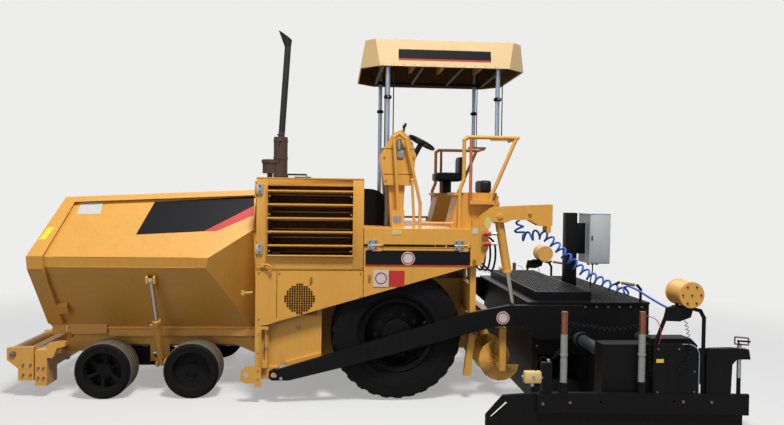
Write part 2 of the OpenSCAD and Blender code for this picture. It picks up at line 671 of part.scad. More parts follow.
// Engine house: roof, front and rear walls, the posts round the doors and the doors' hinge pins
door_hinge_x = house_front_x - 2;
door_hinge_y = skin_y + 10;
door_pin_d = 12;
door_knuckles = [1490, 2080];
knuckle_h = 90;
house_in = skin_y - 36;
module engine_house() color(yellow) machine() {
    post = 60;
    lug_h = 24;
    block([house_front_x, -skin_y, house_z - sheet_t], [house_rear_x, skin_y, house_z]);
    block([house_front_x, -house_in, house_door_z], [house_front_x + sheet_t, house_in, house_z - 1]);
    block([house_rear_x - sheet_t, -house_in, house_door_z], [house_rear_x, house_in, house_z - 1]);
    both() {
        block([house_front_x, -house_in, house_door_z], [house_front_x + post, -house_in + 24, house_z - 1]);
        block([house_rear_x - post, -house_in, house_door_z], [house_rear_x, -house_in + 24, house_z - 1]);
        block([house_front_x, -house_in, house_door_z], [house_rear_x, -house_in + 24, house_door_z + 40]);
        block([house_front_x, -skin_y, house_door_z - 2], [house_rear_x, -frame_y, house_door_z + 4]);
        for (z = door_knuckles) {
            translate([door_hinge_x, -door_hinge_y, z - 20]) cylinder(d = door_pin_d, h = knuckle_h + 40);
            for (lug_z = [z - 30, z + knuckle_h + 6])
                block([door_hinge_x - 12, -door_hinge_y - 6, lug_z], [door_hinge_x, -house_in + 12, lug_z + lug_h]);
            block([door_hinge_x - 12, -house_in, z - 30], [house_front_x + 12, -house_in + 12, z + knuckle_h + 30]);
        }
    }
}

// Rounded black cover behind the engine house
cover_r = 220;
module hood_cover() color(black) machine() xz(-560, 560) polygon(concat(
    [[house_rear_x, deck_z], [house_rear_x, 1930 + cover_r]], arc([-270, 1930], cover_r, 90, 6, 6), [[-35, deck_z]]));

engine_half = 330;
module engine_block() color(grey) machine() {
    block([house_front_x + 170, -engine_half, tunnel_top + 40], [house_rear_x - 110, engine_half, house_z - 262]);
    for (x = [house_front_x + 260, house_rear_x - 250])
        block([x, -frame_in, tunnel_top], [x + 80, frame_in, tunnel_top + 40]);
}

louvre_x = [-1294, -460];
louvre_z = [1480, 2160];
louvre_rise = 44;
blade_count = 5;
module louvre_door() {
    x0 = house_front_x + 4;
    x1 = house_rear_x - 4;
    z0 = house_door_z + 10;
    z1 = house_z - sheet_t - 6;
    blade_pitch = 132;
    color(yellow) machine() {
        difference() {
            block([x0, -skin_y, z0], [x1, -skin_y + 30, z1]);
            block([louvre_x[0], -skin_y - 1, louvre_z[0]], [louvre_x[1], -skin_y + 31, louvre_z[1]]);
            block([x0 + 20, -skin_y + sheet_t, z0 + 20], [x1 - 20, -skin_y + 31, z1 - 20]);
        }
        // Louvre box and its blades
        difference() {
            block([louvre_x[0] - 10, -skin_y - louvre_rise, louvre_z[0] - 10],
                [louvre_x[1] + 10, -skin_y + 1, louvre_z[1] + 10]);
            block([louvre_x[0], -skin_y - louvre_rise - 1, louvre_z[0]], [louvre_x[1], -skin_y + 2, louvre_z[1]]);
        }
        for (i = [0 : blade_count - 1]) translate([0, 0, louvre_z[0] + 36 + i * blade_pitch])
            yz(louvre_x[0] - 1, louvre_x[1] + 1) polygon([[-skin_y - 42, 0], [-skin_y - 34, 8], [-skin_y + 2, 60],
                [-skin_y - 6, 60]]);
        for (z = door_knuckles) difference() {
            union() {
                translate([door_hinge_x, -door_hinge_y, z]) cylinder(d = 26, h = knuckle_h);
                block([door_hinge_x + 4, -door_hinge_y - 4, z], [x0 + 60, -skin_y + 1, z + knuckle_h]);
            }
            translate([door_hinge_x, -door_hinge_y, z - 1]) cylinder(d = door_pin_d + 2 * run_gap, h = knuckle_h + 2);
        }
    }
}

// Service door under the deck, hinged along its top edge
service_z = deck_skirt_z - 8;
service_x = [house_rear_x + 4, 716];
service_hinges = [-260, 610];
service_knuckle = 90;
service_pin_d = 10;
service_hinge_y = skin_y + 12;
service_hinge_z = service_z - 2;
module service_door() color(yellow) machine() difference() {
    union() {
        xz(-skin_y, -skin_in) polygon([[service_x[0], skirt_z(service_x[0])], [service_x[0], service_z - 18],
            [service_x[1], service_z - 18], [service_x[1], skirt_z(service_x[1])]]);
        for (x = service_hinges) {
            block([x, -skin_y - 12, service_z - 60], [x + service_knuckle, -skin_y + 1, service_z - 8]);
            pin_x(-service_hinge_y, service_hinge_z, x, x + service_knuckle, 20);
        }
    }
    for (x = service_hinges)
        pin_x(-service_hinge_y, service_hinge_z, x - 1, x + service_knuckle + 1, service_pin_d + 2 * run_gap);
}

// Operator's deck with its side plates, rear corner posts and the boxes under the seats
seat_in = 560;
seat_out = 1010;
seat_z = 2120;
module operator_deck() color(yellow) machine() {
    x0 = house_rear_x + 4;
    difference() {
        block([x0, -skin_y, deck_skirt_z], [deck_rear_x, skin_y, deck_z]);
        block([x0 + sheet_t, -skin_in, deck_skirt_z - 1], [deck_rear_x - sheet_t, skin_in, deck_z - 20]);
    }
    block([x0, -frame_y, tunnel_top], [x0 + sheet_t, frame_y, deck_z - 19]);
    both() {
        block([740, -skin_y, deck_z - 1], [deck_rear_x, -skin_y + 60, deck_z + 90]);
        for (x = service_hinges) {
            pin_x(-service_hinge_y, service_hinge_z, x - 16, x + service_knuckle + 16, service_pin_d);
            for (lug_x = [x - 18, x + service_knuckle + 6])
                block([lug_x, -service_hinge_y - 6, service_hinge_z - 6], [lug_x + 12, -skin_in, deck_skirt_z + 10]);
        }
        xz(-seat_out, -seat_in) polygon([[560, deck_z - 1], [640, seat_z - 29], [1060, seat_z - 29],
            [1060, seat_z - 110], [deck_rear_x, deck_z - 1]]);
        block([590, -seat_out, seat_z - 30], [1040, -seat_in, seat_z]);
    }
}

// Control console on its pedestal, with the steering wheel toward the seats
module control_console() color(yellow) machine() {
    wheel_x = 262;
    wheel_y = -850;
    wheel_z = 2640;
    wheel_r = 140;
    grip_d = 28;
    xz(-1000, -740) polygon([[-136, 2186], [-180, 2480], [-50, 2720], [30, 2755], [110, 2690], [190, 2500],
        [151, 2186]]);
    xz(-960, -780) polygon([[-60, deck_z], [-90, 2187], [80, 2187], [60, deck_z]]);
    bar([165, wheel_y, 2458], [wheel_x, wheel_y, wheel_z], 50);
    translate([wheel_x, wheel_y, wheel_z]) rotate([0, 28, 0]) {
        rotate_extrude() translate([wheel_r, 0]) circle(d = grip_d);
        for (a = [0, 120, 240]) rotate([0, 0, a]) translate([-12, 0, -6]) cube([24, wheel_r, 12]);
        translate([0, 0, -16]) cylinder(d = 90, h = 32);
    }
}

// Seats: the near one is folded down to a pad, the far one stands on its pedestal
module seats() color(black) machine() {
    block([880, -960, seat_z], [1000, -600, seat_z + 130]);
    translate([785, 770, seat_z]) cylinder(d = 120, h = 151);
    block([610, 580, seat_z + 150], [960, 960, seat_z + 260]);
    xz(600, 940) polygon([[900, seat_z + 259], [950, seat_z + 460], [1010, seat_z + 460], [955, seat_z + 150],
        [900, seat_z + 200]]);
}

// Yellow tube frames at the sides of the operator's station
station_y = -(skin_y - 190);
post_y = canopy_w / 2 - 75;
post_x = [-90, 1105];
rail_top = 2690;
module station_frames() color(yellow) machine() both() {
    y = station_y;
    // Front hoop with its grab rail, the short post beside it, the plate at its foot and the toe bar
    tube_path([[3, y, deck_z], [3, y, 1972], [-47, y, 2676], [10, y, 2710], [76, y, 2660], [231, y, 2006],
        [231, y, deck_z]], 34);
    tube_path([[168, y, deck_z], [168, y, 1840], [144, y, 2240], [178, y, 2240]], 28);
    block([-58, y - 12, deck_z], [69, y + 12, 1931]);
    tube_path([[231, y, 1800], [570, y, 1800], [570, y, deck_z]], 28);
    // Rear loop with the post inside it and the brace that leans back to the seat box
    tube_path([[640, y, deck_z], [640, y, 2150], [680, y, 2250], [680, y, 2660], [720, y, rail_top],
        [1240, y, rail_top]], 40);
    tube_path([[1225, y, rail_top], [985, y, 2120], [960, y, 2020]], 40);
    tube_path([[1240, y, rail_top], [1240, -post_y, rail_top]], 40);
    bar([752, y, 2020], [752, y, rail_top], 30);
    block([745, y - 20, 2000], [1000, -seat_out, 2040]);
    // Bracket under the rear canopy post
    block([post_x[1] - 60, -post_y - 40, rail_top], [1265, -post_y + 40, rail_top + 22]);
}

// Canopy: a tray with cut corners and leaning sides, hollow below, with ribs under its top
canopy_low = canopy_z - canopy_h;
rib_low = canopy_z - 120;
module canopy_body(t, h) {
    lean = canopy_lean * (h + 1) / canopy_h;
    x0 = canopy_front_x + t;
    x1 = canopy_rear_x - t;
    y1 = canopy_w / 2 - t;
    c = canopy_cut;
    low = canopy_low - (t > 0 ? 1 : 0);
    top = canopy_low + h;
    intersection() {
        translate([0, 0, low]) linear_extrude(top - low) polygon([[x0, -y1 + c], [x0 + c, -y1], [x1 - c, -y1],
            [x1, -y1 + c], [x1, y1 - c], [x1 - c, y1], [x0 + c, y1], [x0, y1 - c]]);
        xz(-canopy_w, canopy_w) polygon([[x0, low], [x1, low], [x1 - lean, top], [x0 + lean, top]]);
        yz(x0 - 10, x1 + 10) polygon([[-y1, low], [y1, low], [y1 - lean, top], [-y1 + lean, top]]);
    }
}

module canopy_roof() color("#d9bd86") machine() {
    wall = 14;
    top = 30;
    difference() {
        canopy_body(0, canopy_h);
        canopy_body(wall, canopy_h - top);
    }
    intersection() {
        canopy_body(wall / 2, canopy_h - top / 2);
        for (x = [post_x[0] - 20, 260, 620, post_x[1] - 20])
            block([x, -canopy_w, rib_low], [x + 40, canopy_w, canopy_z]);
    }
}

module canopy_posts() color(grey) machine() both() {
    feet = [deck_z, rail_top + 22];
    for (i = [0, 1]) {
        bar([post_x[i], -post_y, feet[i]], [post_x[i], -post_y, rib_low], post_d);
        translate([post_x[i], -post_y, 3127]) cylinder(d = post_d + 32, h = 16);
    }
}

// Exhaust: muffler, leaning pipe and its bent, flared end, and the air intake beside it
module exhaust_stack() color("#4b3a33") machine() {
    x = -1300;
    y = 300;
    pipe_z = house_z + 500;
    mouth = [-1249, y, 3968];
    flare = [stack_d, 190];
    pipe_top = [x + 6 + (stack_z - pipe_z) * tan(stack_lean), y, stack_z];
    translate([x, y, house_z]) cylinder(d = muffler_d - 30, h = 30);
    translate([x, y, house_z + 12]) cylinder(d = muffler_d, h = 506);
    bar([x + 6, y, pipe_z], pipe_top, stack_d);
    translate(pipe_top) sphere(d = stack_d + 1);
    difference() {
        translate(pipe_top) rotate([0, -6, 0]) cylinder(d1 = flare[0], d2 = flare[1], h = 220);
        translate(pipe_top + [0, 0, 30]) rotate([0, -6, 0]) cylinder(d1 = flare[0], d2 = flare[1], h = 220);
        translate(mouth) rotate([0, 35, 0]) translate([-300, -300, 0]) cube(600);
    }
    translate([-1350, -500, house_z]) cylinder(d = 60, h = 61);
    translate([-1350, -500, house_z + 60]) cylinder(d = 160, h = 150);
}

// Goosenecks that hold the lift cylinders
lift_top = [1020, 1885];
lift_eye = [1190, 935];
lift_pin_d = 40;
lift_top_pin_d = 36;
lift_dir = unit(lift_eye - lift_top);
lift_out = lift_y - 78;
lift_in = lift_y + 76;
function on_xz(y, p) = [p[0], y, p[1]];

module gooseneck_outline() polygon([[deck_rear_x, 1380], [deck_rear_x, 1830], [deck_rear_x + 35, 1890], [960, 1972],
    [1090, 1985], [1560, 2010], [1560, 1790], [1546, 1790], [1546, 1721], [1504, 1721], [1504, 1790], [1430, 1790],
    [1320, 1850], [1150, 1850], [1080, 1820], [940, 1830], [905, 1750], [905, 1560], [860, 1440]]);

module lift_brackets() color(yellow) machine() both() {
    cheek = 18;
    for (y = [lift_out, lift_in - cheek]) xz(y, y + cheek) gooseneck_outline();
    block([rear_wall_x, lift_out, 1380], [deck_rear_x + 26, lift_in, deck_skirt_z - 2]);
    block([deck_rear_x, lift_out, deck_skirt_z - 3], [deck_rear_x + 26, lift_in, 1700]);
    block([1300, lift_out, 1880], [1540, lift_in, 1960]);
    pin_y(lift_top[0], lift_top[1], lift_out, lift_in, lift_top_pin_d);
}

module lift_barrel() color(yellow) machine() difference() {
    union() {
        bar(on_xz(lift_y, lift_top), on_xz(lift_y, lift_top + lift_dir * lift_cyl_l), lift_cyl_d);
        pin_y(lift_top[0], lift_top[1], lift_y - 44, lift_y + 44, 84);
    }
    pin_y(lift_top[0], lift_top[1], lift_y - 60, lift_y + 60, lift_top_pin_d + 2 * run_gap);
    bar(on_xz(lift_y, lift_top + lift_dir * 70), on_xz(lift_y, lift_top + lift_dir * (lift_cyl_l + 1)),
        lift_rod_d + 2 * run_gap);
}

module lift_rod() color(grey) machine() difference() {
    union() {
        bar(on_xz(lift_y, lift_top + lift_dir * 400), on_xz(lift_y, lift_eye), lift_rod_d);
        pin_y(lift_eye[0], lift_eye[1], lift_y - 22, lift_y + 22, lift_pin_d + 2 * lift_drift + 26);
    }
    pin_y(lift_eye[0], lift_eye[1], lift_y - 60, lift_y + 60, lift_pin_d + 2 * lift_drift);
}

// Augers: a shaft with a helical flight, and the hangers that carry it
hanger_half = arm_in - 35;
auger_in = 65 + gap / 2;
auger_len = hanger_half - 50 - gap - auger_in;
auger_turns = 2.5;
auger_shaft_d = 40;
module flight(len, r_in, r_out, t, turns, steps) {
    n = round(turns * steps);
    ring = [[r_in, -t / 2], [r_out, -t / 2], [r_out, t / 2], [r_in, t / 2]];
    points = [for (i = [0 : n]) let (a = 360 * turns * i / n, z = len * i / n)
        for (p = ring) [p[0] * cos(a), p[0] * sin(a), z + p[1]]];
    sides = [for (i = [0 : n - 1]) for (k = [0 : 3]) let (a = 4 * i + k, b = 4 * i + (k + 1) % 4)
        for (f = [[a, b, b + 4], [a, b + 4, a + 4]]) f];
    polyhedron(points, concat(sides, [[3, 2, 1, 0]], [[4 * n, 4 * n + 1, 4 * n + 2, 4 * n + 3]]));
}

module auger() color(yellow) machine() translate([auger_x, -(auger_in + auger_len), auger_z]) rotate([-90, 0, 0]) {
    difference() {
        cylinder(d = 80, h = auger_len);
        translate([0, 0, -1]) cylinder(d = auger_shaft_d + 2 * run_gap, h = auger_len + 2);
    }
    translate([0, 0, 30]) flight(auger_len - 60, 34, auger_d / 2, 16, auger_turns, 16);
}

module auger_hangers() color(yellow) machine() {
    beam_z = [740, 820];
    pin_y(auger_x, auger_z, -hanger_half, hanger_half, auger_shaft_d);
    block([auger_x - 40, -65, auger_z - 70], [auger_x + 40, 65, beam_z[0] + 20]);
    block([rear_wall_x, -120, beam_z[0] - 20], [auger_x + 40, 120, beam_z[1] - 20]);
    block([auger_x - 80, -hanger_half, beam_z[0]], [auger_x, hanger_half, beam_z[1]]);
    both() {
        block([auger_x - 32, -hanger_half, auger_z - 40], [auger_x + 32, -hanger_half + 50, beam_z[0] + 5]);
        block([rear_wall_x, -650, beam_z[0]], [auger_x - 79, -560, beam_z[1]]);
    }
}

// Screed: the tow arms, the frame with its walkway, and the control cabinet on its post
arm_rear_x = 1900;
module tow_arms() color(black) machine() both() {
    difference() {
        xz(-arm_out, -arm_in) polygon([[-1270, 262], [-1270, 322], [-1230, 346], [-1172, 346], [407, 814],
            [835, 930], [1124, 985], [arm_rear_x, 985], [arm_rear_x, 720], [1785, 720], [1785, 640], [1420, 640],
            [1240, 790], [1001, 775], [839, 734], [-473, 383], [-1072, 238], [-1240, 238]]);
        pin_y(tow_x, tow_z, -arm_out - 1, -arm_in + 1, tow_pin_d + 2 * run_gap);
    }
    pin_y(lift_eye[0], lift_eye[1], -arm_in - 1, -arm_in + 75, lift_pin_d);
    block([screed_front_x + 10, -arm_in - 1, 680], [1780, -screed_half, 960]);
}

tube_x1 = 1860;
tube_x2 = 2520;
tube_z = 650;
tube_xs = [tube_x1, tube_x2];
sleeve_l = 185;
module screed_frame() color(black) machine() difference() {
    union() {
        block([screed_front_x, -screed_half, 520], [screed_rear_x, screed_half, screed_z - 20]);
        block([screed_front_x, -screed_half, 0], [1960, screed_half, 521]);
        block([screed_rear_x - 1, -screed_half, 520], [screed_rear_x + 260, screed_half, 560]);
        // Guide sleeve of the front tube, with the ring at its end
        both() {
            pin_y(tube_x1, tube_z, -screed_half - sleeve_l, -screed_half, tube_d + 20);
            pin_y(tube_x1, tube_z, -screed_half - sleeve_l, -screed_half - sleeve_l + 26, tube_d + 44);
        }
    }
    for (x = tube_xs)
        pin_y(x, tube_z, -screed_half - sleeve_l - 1, screed_half + sleeve_l + 1, tube_d + 2 * run_gap);
    block([screed_front_x + 60, -screed_half - 1, 180], [1900, screed_half + 1, 470]);
}

module screed_walkway() color(black) machine() {
    hook_y = screed_half - 20;
    block([screed_front_x - 60, -screed_half - 20, screed_z - 20], [screed_rear_x, screed_half + 20, screed_z]);
    block([screed_front_x + 60, -screed_half + 100, screed_z - 1], [2040, screed_half - 100, screed_z + 90]);
    both() tube_path([[2248, -hook_y, screed_z - 1], [2262, -hook_y, 1190], [2300, -hook_y, 1210],
        [2500, -hook_y, 1180], [2535, -hook_y, 1140], [2535, -hook_y, screed_z - 1]], 28);
}

module control_cabinet() color(grey) machine() {
    box_y = 190;
    block([2100, -65, screed_z], [2230, 65, 1900]);
    block([2340, -box_y, 1310], [2588, box_y, 1893]);
    block([2229, -50, 1420], [2341, 50, 1780]);
}

// Screed extension: its plate and box behind the main plate, and the tubes that carry it
ext_out = half_w + reach - 50;
ext_plate_x = [2000, 2470];
module extension() color(black) machine() {
    block([ext_plate_x[0], -ext_out, 0], [ext_plate_x[1], -ext_out + ext_len, 130]);
    block([ext_plate_x[0], -ext_out, 129], [ext_plate_x[0] + 120, -ext_out + ext_len, 490]);
    xz(-ext_out, -ext_out + 180) polygon([[1730, 150], [1730, 790], [2180, 790], [2180, 840], [2540, 840],
        [2600, 780], [2600, 100], [ext_plate_x[0] - 10, 100], [ext_plate_x[0] - 10, 150]]);
    for (x = tube_xs) pin_y(x, tube_z, -ext_out + 179, -ext_out + 1400, tube_d);
}

// End gate: side plate with the beam on it, depth screws, guard frame, canister and crank
gate_holes = [1700, 2360];
gate_hole_z = 300;
gate_hole_d = 22;
depth_xs = [1371, 2073];
module end_gate() {
    y1 = -ext_out - 6;
    y0 = y1 - 70;
    mid = (y0 + y1) / 2;
    step = 32;
    guard_y = y1 - 18;
    gate_rear = rear_x - 11;
    color(black) machine() {
        difference() {
            union() {
                xz(y0 + step, y1 + 6) polygon([[690, 60], [690, 183], [844, 355], [1240, 378], [gate_rear - 40, 345],
                    [gate_rear - 40, 60], [gate_rear - 160, 0], [860, 0]]);
                xz(y0, y0 + step + 1) polygon([[1130, 205], [1130, 372], [1328, 382], [gate_rear, 355],
                    [gate_rear, 167], [1328, 211]]);
            }
            for (x = gate_holes) pin_y(x, gate_hole_z, y0 - 1, y1 + 7, gate_hole_d);
            // Slot in the nose
            xz(y0 + step - 1, y1 + 7) polygon([[722, 172], [744, 160], [884, 282], [862, 302]]);
        }
        // Depth screws on their sockets
        for (x = depth_xs) {
            translate([x, mid, 360]) cylinder(d = 76, h = 90);
            translate([x, mid, 445]) cylinder(d = 58, h = 450);
            translate([x, mid, 890]) cylinder(d = 50, h = 195);
        }
        // Column with the levelling sensor
        block([1173, y0 + 12, 353], [1262, y1, 643]);
        block([1150, mid - 20, 500], [1180, mid + 20, 540]);
        block([1023, y0 + 4, 467], [1167, y1, 564]);
        // Rounded plate with the guard tube, and the bracket that carries the canister
        xz(y0 + 14, y1 + 6) polygon(concat([[2169, 340], [2169, 802]],
            arc([2488, 702], 100, 90, 0, 4), [[2588, 340]]));
        tube_path([[2185, guard_y, 760], [2316, guard_y, 1109], [2360, guard_y, 1127], [2479, guard_y, 1127],
            [2607, guard_y, 1092], [2642, guard_y, 1030], [2642, guard_y, 350]], 34);
        xz(y0 + 10, y0 + 34) polygon([[2255, 1010], [2280, 1127], [2524, 1127], [2500, 1040], [2400, 1004]]);
        pin_y(2490, 1240, y0 - 20, y0 + 240, 220);
        block([2440, y0 + 12, 1100], [2524, y0 + 80, 1150]);
        // Tapered post with its arm, and the crank on its screw
        xz(y0 + 6, y1 - 4) polygon([[2655, 340], [2653, 712], [2690, 762], [2900, 766], [3040, 755], [3057, 666],
            [2930, 666], [2890, 620], [2880, 340]]);
        translate([2966, mid, 340]) cylinder(d = 36, h = 450);
        tube_path([[2966, mid, 790], [2953, mid, 826], [3050, mid - 30, 826]], 16);
    }
}

chassis_frame();
cross_members();
side_brackets();
side_panels();
drive_axle();
bogie_beams();
conveyor();
push_beam();
engine_house();
engine_block();
hood_cover();
exhaust_stack();
operator_deck();
control_console();
seats();
station_frames();
canopy_roof();
canopy_posts();
lift_brackets();
auger_hangers();
drive_tyre();  // drive_tyre_left
on_side(true) drive_tyre();  // drive_tyre_right
drive_rim();  // drive_rim_left
on_side(true) drive_rim();  // drive_rim_right
front_wheel(wheel_1_x, 6);  // front_wheel_1_left
on_side(true) front_wheel(wheel_1_x, 6);  // front_wheel_1_right
front_wheel(wheel_2_x, 0);  // front_wheel_2_left
on_side(true) front_wheel(wheel_2_x, 0);  // front_wheel_2_right
knuckle(wheel_1_x);  // knuckle_1_left
on_side(true) knuckle(wheel_1_x);  // knuckle_1_right
knuckle(wheel_2_x);  // knuckle_2_left
on_side(true) knuckle(wheel_2_x);  // knuckle_2_right
hopper_wing();  // hopper_wing_left
on_side(true) hopper_wing();  // hopper_wing_right
wing_barrel();  // wing_barrel_left
on_side(true) wing_barrel();  // wing_barrel_right
wing_rod();  // wing_rod_left
on_side(true) wing_rod();  // wing_rod_right
push_roller();  // push_roller_left
on_side(true) push_roller();  // push_roller_right
louvre_door();  // louvre_door_left
on_side(true) louvre_door();  // louvre_door_right
service_door();  // service_door_left
on_side(true) service_door();  // service_door_right
tow_arms();
screed_frame();
screed_walkway();
control_cabinet();
lift_barrel();  // lift_barrel_left
on_side(true) lift_barrel();  // lift_barrel_right
lift_rod();  // lift_rod_left
on_side(true) lift_rod();  // lift_rod_right
extension();  // extension_left
on_side(true) extension();  // extension_right
end_gate();  // end_gate_left
on_side(true) end_gate();  // end_gate_right
auger();  // auger_left
on_side(true) auger();  // auger_right
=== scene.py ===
"""Looks for a wheeled asphalt paver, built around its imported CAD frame."""

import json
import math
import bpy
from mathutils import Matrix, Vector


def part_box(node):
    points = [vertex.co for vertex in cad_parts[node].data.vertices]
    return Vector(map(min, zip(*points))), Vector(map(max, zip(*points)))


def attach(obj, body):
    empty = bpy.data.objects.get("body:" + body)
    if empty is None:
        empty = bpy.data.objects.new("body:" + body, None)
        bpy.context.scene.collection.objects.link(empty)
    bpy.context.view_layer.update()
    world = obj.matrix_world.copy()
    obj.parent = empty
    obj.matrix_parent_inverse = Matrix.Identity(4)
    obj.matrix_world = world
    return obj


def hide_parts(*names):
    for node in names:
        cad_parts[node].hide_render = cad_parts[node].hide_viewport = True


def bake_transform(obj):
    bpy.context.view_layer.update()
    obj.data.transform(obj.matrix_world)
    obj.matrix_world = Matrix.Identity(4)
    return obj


bl_info = {
    "name": "Asphalt paver looks",
    "version": (1, 0, 0),
    "blender": (4, 5, 0),
    "location": "View3D > Sidebar > Paver",
    "description": "Dresses the CAD frame of a wheeled asphalt paver with paint, trim, hoses and a stage",
    "category": "Object",
}

import bmesh
import bpy
from mathutils import Matrix, Vector

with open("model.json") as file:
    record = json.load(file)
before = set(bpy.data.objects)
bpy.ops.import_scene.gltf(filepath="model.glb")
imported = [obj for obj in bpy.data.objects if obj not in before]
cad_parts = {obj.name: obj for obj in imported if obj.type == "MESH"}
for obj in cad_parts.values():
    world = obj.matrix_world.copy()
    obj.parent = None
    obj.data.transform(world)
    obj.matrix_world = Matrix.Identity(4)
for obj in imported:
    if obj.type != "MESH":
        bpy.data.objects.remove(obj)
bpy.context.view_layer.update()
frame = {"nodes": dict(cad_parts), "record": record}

# Places along the machine are counted from the drive axle
_tyre_low, _tyre_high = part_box("drive_tyre_left")
AXLE_X = (_tyre_low.x + _tyre_high.x) / 2
UP = Vector((0, 0, 1))
UNTURNED = UP.to_track_quat("Z", "Y").to_euler()
# Distances of the CAD's faces and rows from the centre line, in metres
PANEL_Y = 1.250
ARM_Y = 1.275
GATE_Y = 2.266
PLATE_Y = 2.286
# Places of the posts, pipes, tubes and wheels that the trim sits on
POST_XS = (-0.090, 1.105)
COLLAR_Z = 3.135
DOOR_HINGE_XS = (-0.260, 0.610)
LOUVRE_HINGE_ZS = (1.535, 2.125)
SCREW_XS = (1.371, 2.073)
TUBE_XS = (1.860, 2.520)
TUBE_Z = 0.650
STACK_X, STACK_Y = -1.300, 0.300
FRONT_WHEELS = ((1, -2.935), (2, -2.065))
FRONT_Z = 0.280
DRIVE_Z = 0.670


class Side:
    """A side of the machine, or its middle: what its pieces are called, and where its places lie."""

    def __init__(self, name, sign):
        self.suffix = f"_{name}" if name else ""
        self.sign = sign
        self.out = Vector((0, sign, 0))

    def at(self, x, y, z):
        """A place in the frame, from metres behind the drive axle, out from the centre line and up."""
        return Vector((x + AXLE_X, self.sign * y, z))

    def placed(self, value):
        """Places written as tuples of three, alone or in lists. Anything else stays as it is."""
        if isinstance(value, list):
            return [self.placed(item) for item in value]
        return self.at(*value) if isinstance(value, tuple) and len(value) == 3 else value

    def body(self, name):
        return name if name in ("chassis", "screed") else name + self.suffix


MIDDLE, LEFT, RIGHT = Side("", 1), Side("left", -1), Side("right", 1)
SIDES = (LEFT, RIGHT)


# Colours and material nodes


def linear(code, factor=1.0):
    """An sRGB hex colour as the linear RGBA that a shader takes, made lighter or darker."""
    channels = [int(code[i : i + 2], 16) / 255 for i in (1, 3, 5)]
    values = [c / 12.92 if c <= 0.04045 else ((c + 0.055) / 1.055) ** 2.4 for c in channels]
    return tuple(min(1.0, value * factor) for value in values) + (1.0,)


def add_node(tree, kind, sockets=None, **settings):
    """One node with its settings, and its sockets given as values or as (node, output) links."""
    node = tree.nodes.new(kind)
    for name, value in settings.items():
        setattr(node, name, value)
    for key, value in (sockets or {}).items():
        socket = node.inputs[key]
        if isinstance(value, tuple) and len(value) == 2 and isinstance(value[0], bpy.types.Node):
            tree.links.new(value[0].outputs[value[1]], socket)
        else:
            socket.default_value = value
    return node


def new_material(name):
    material = bpy.data.materials.new(name)
    material.use_nodes = True
    material.node_tree.nodes.clear()
    return material, material.node_tree


def close_material(tree, shader_sockets):
    shader = add_node(tree, "ShaderNodeBsdfPrincipled", shader_sockets)
    add_node(tree, "ShaderNodeOutputMaterial", {"Surface": (shader, "BSDF")})


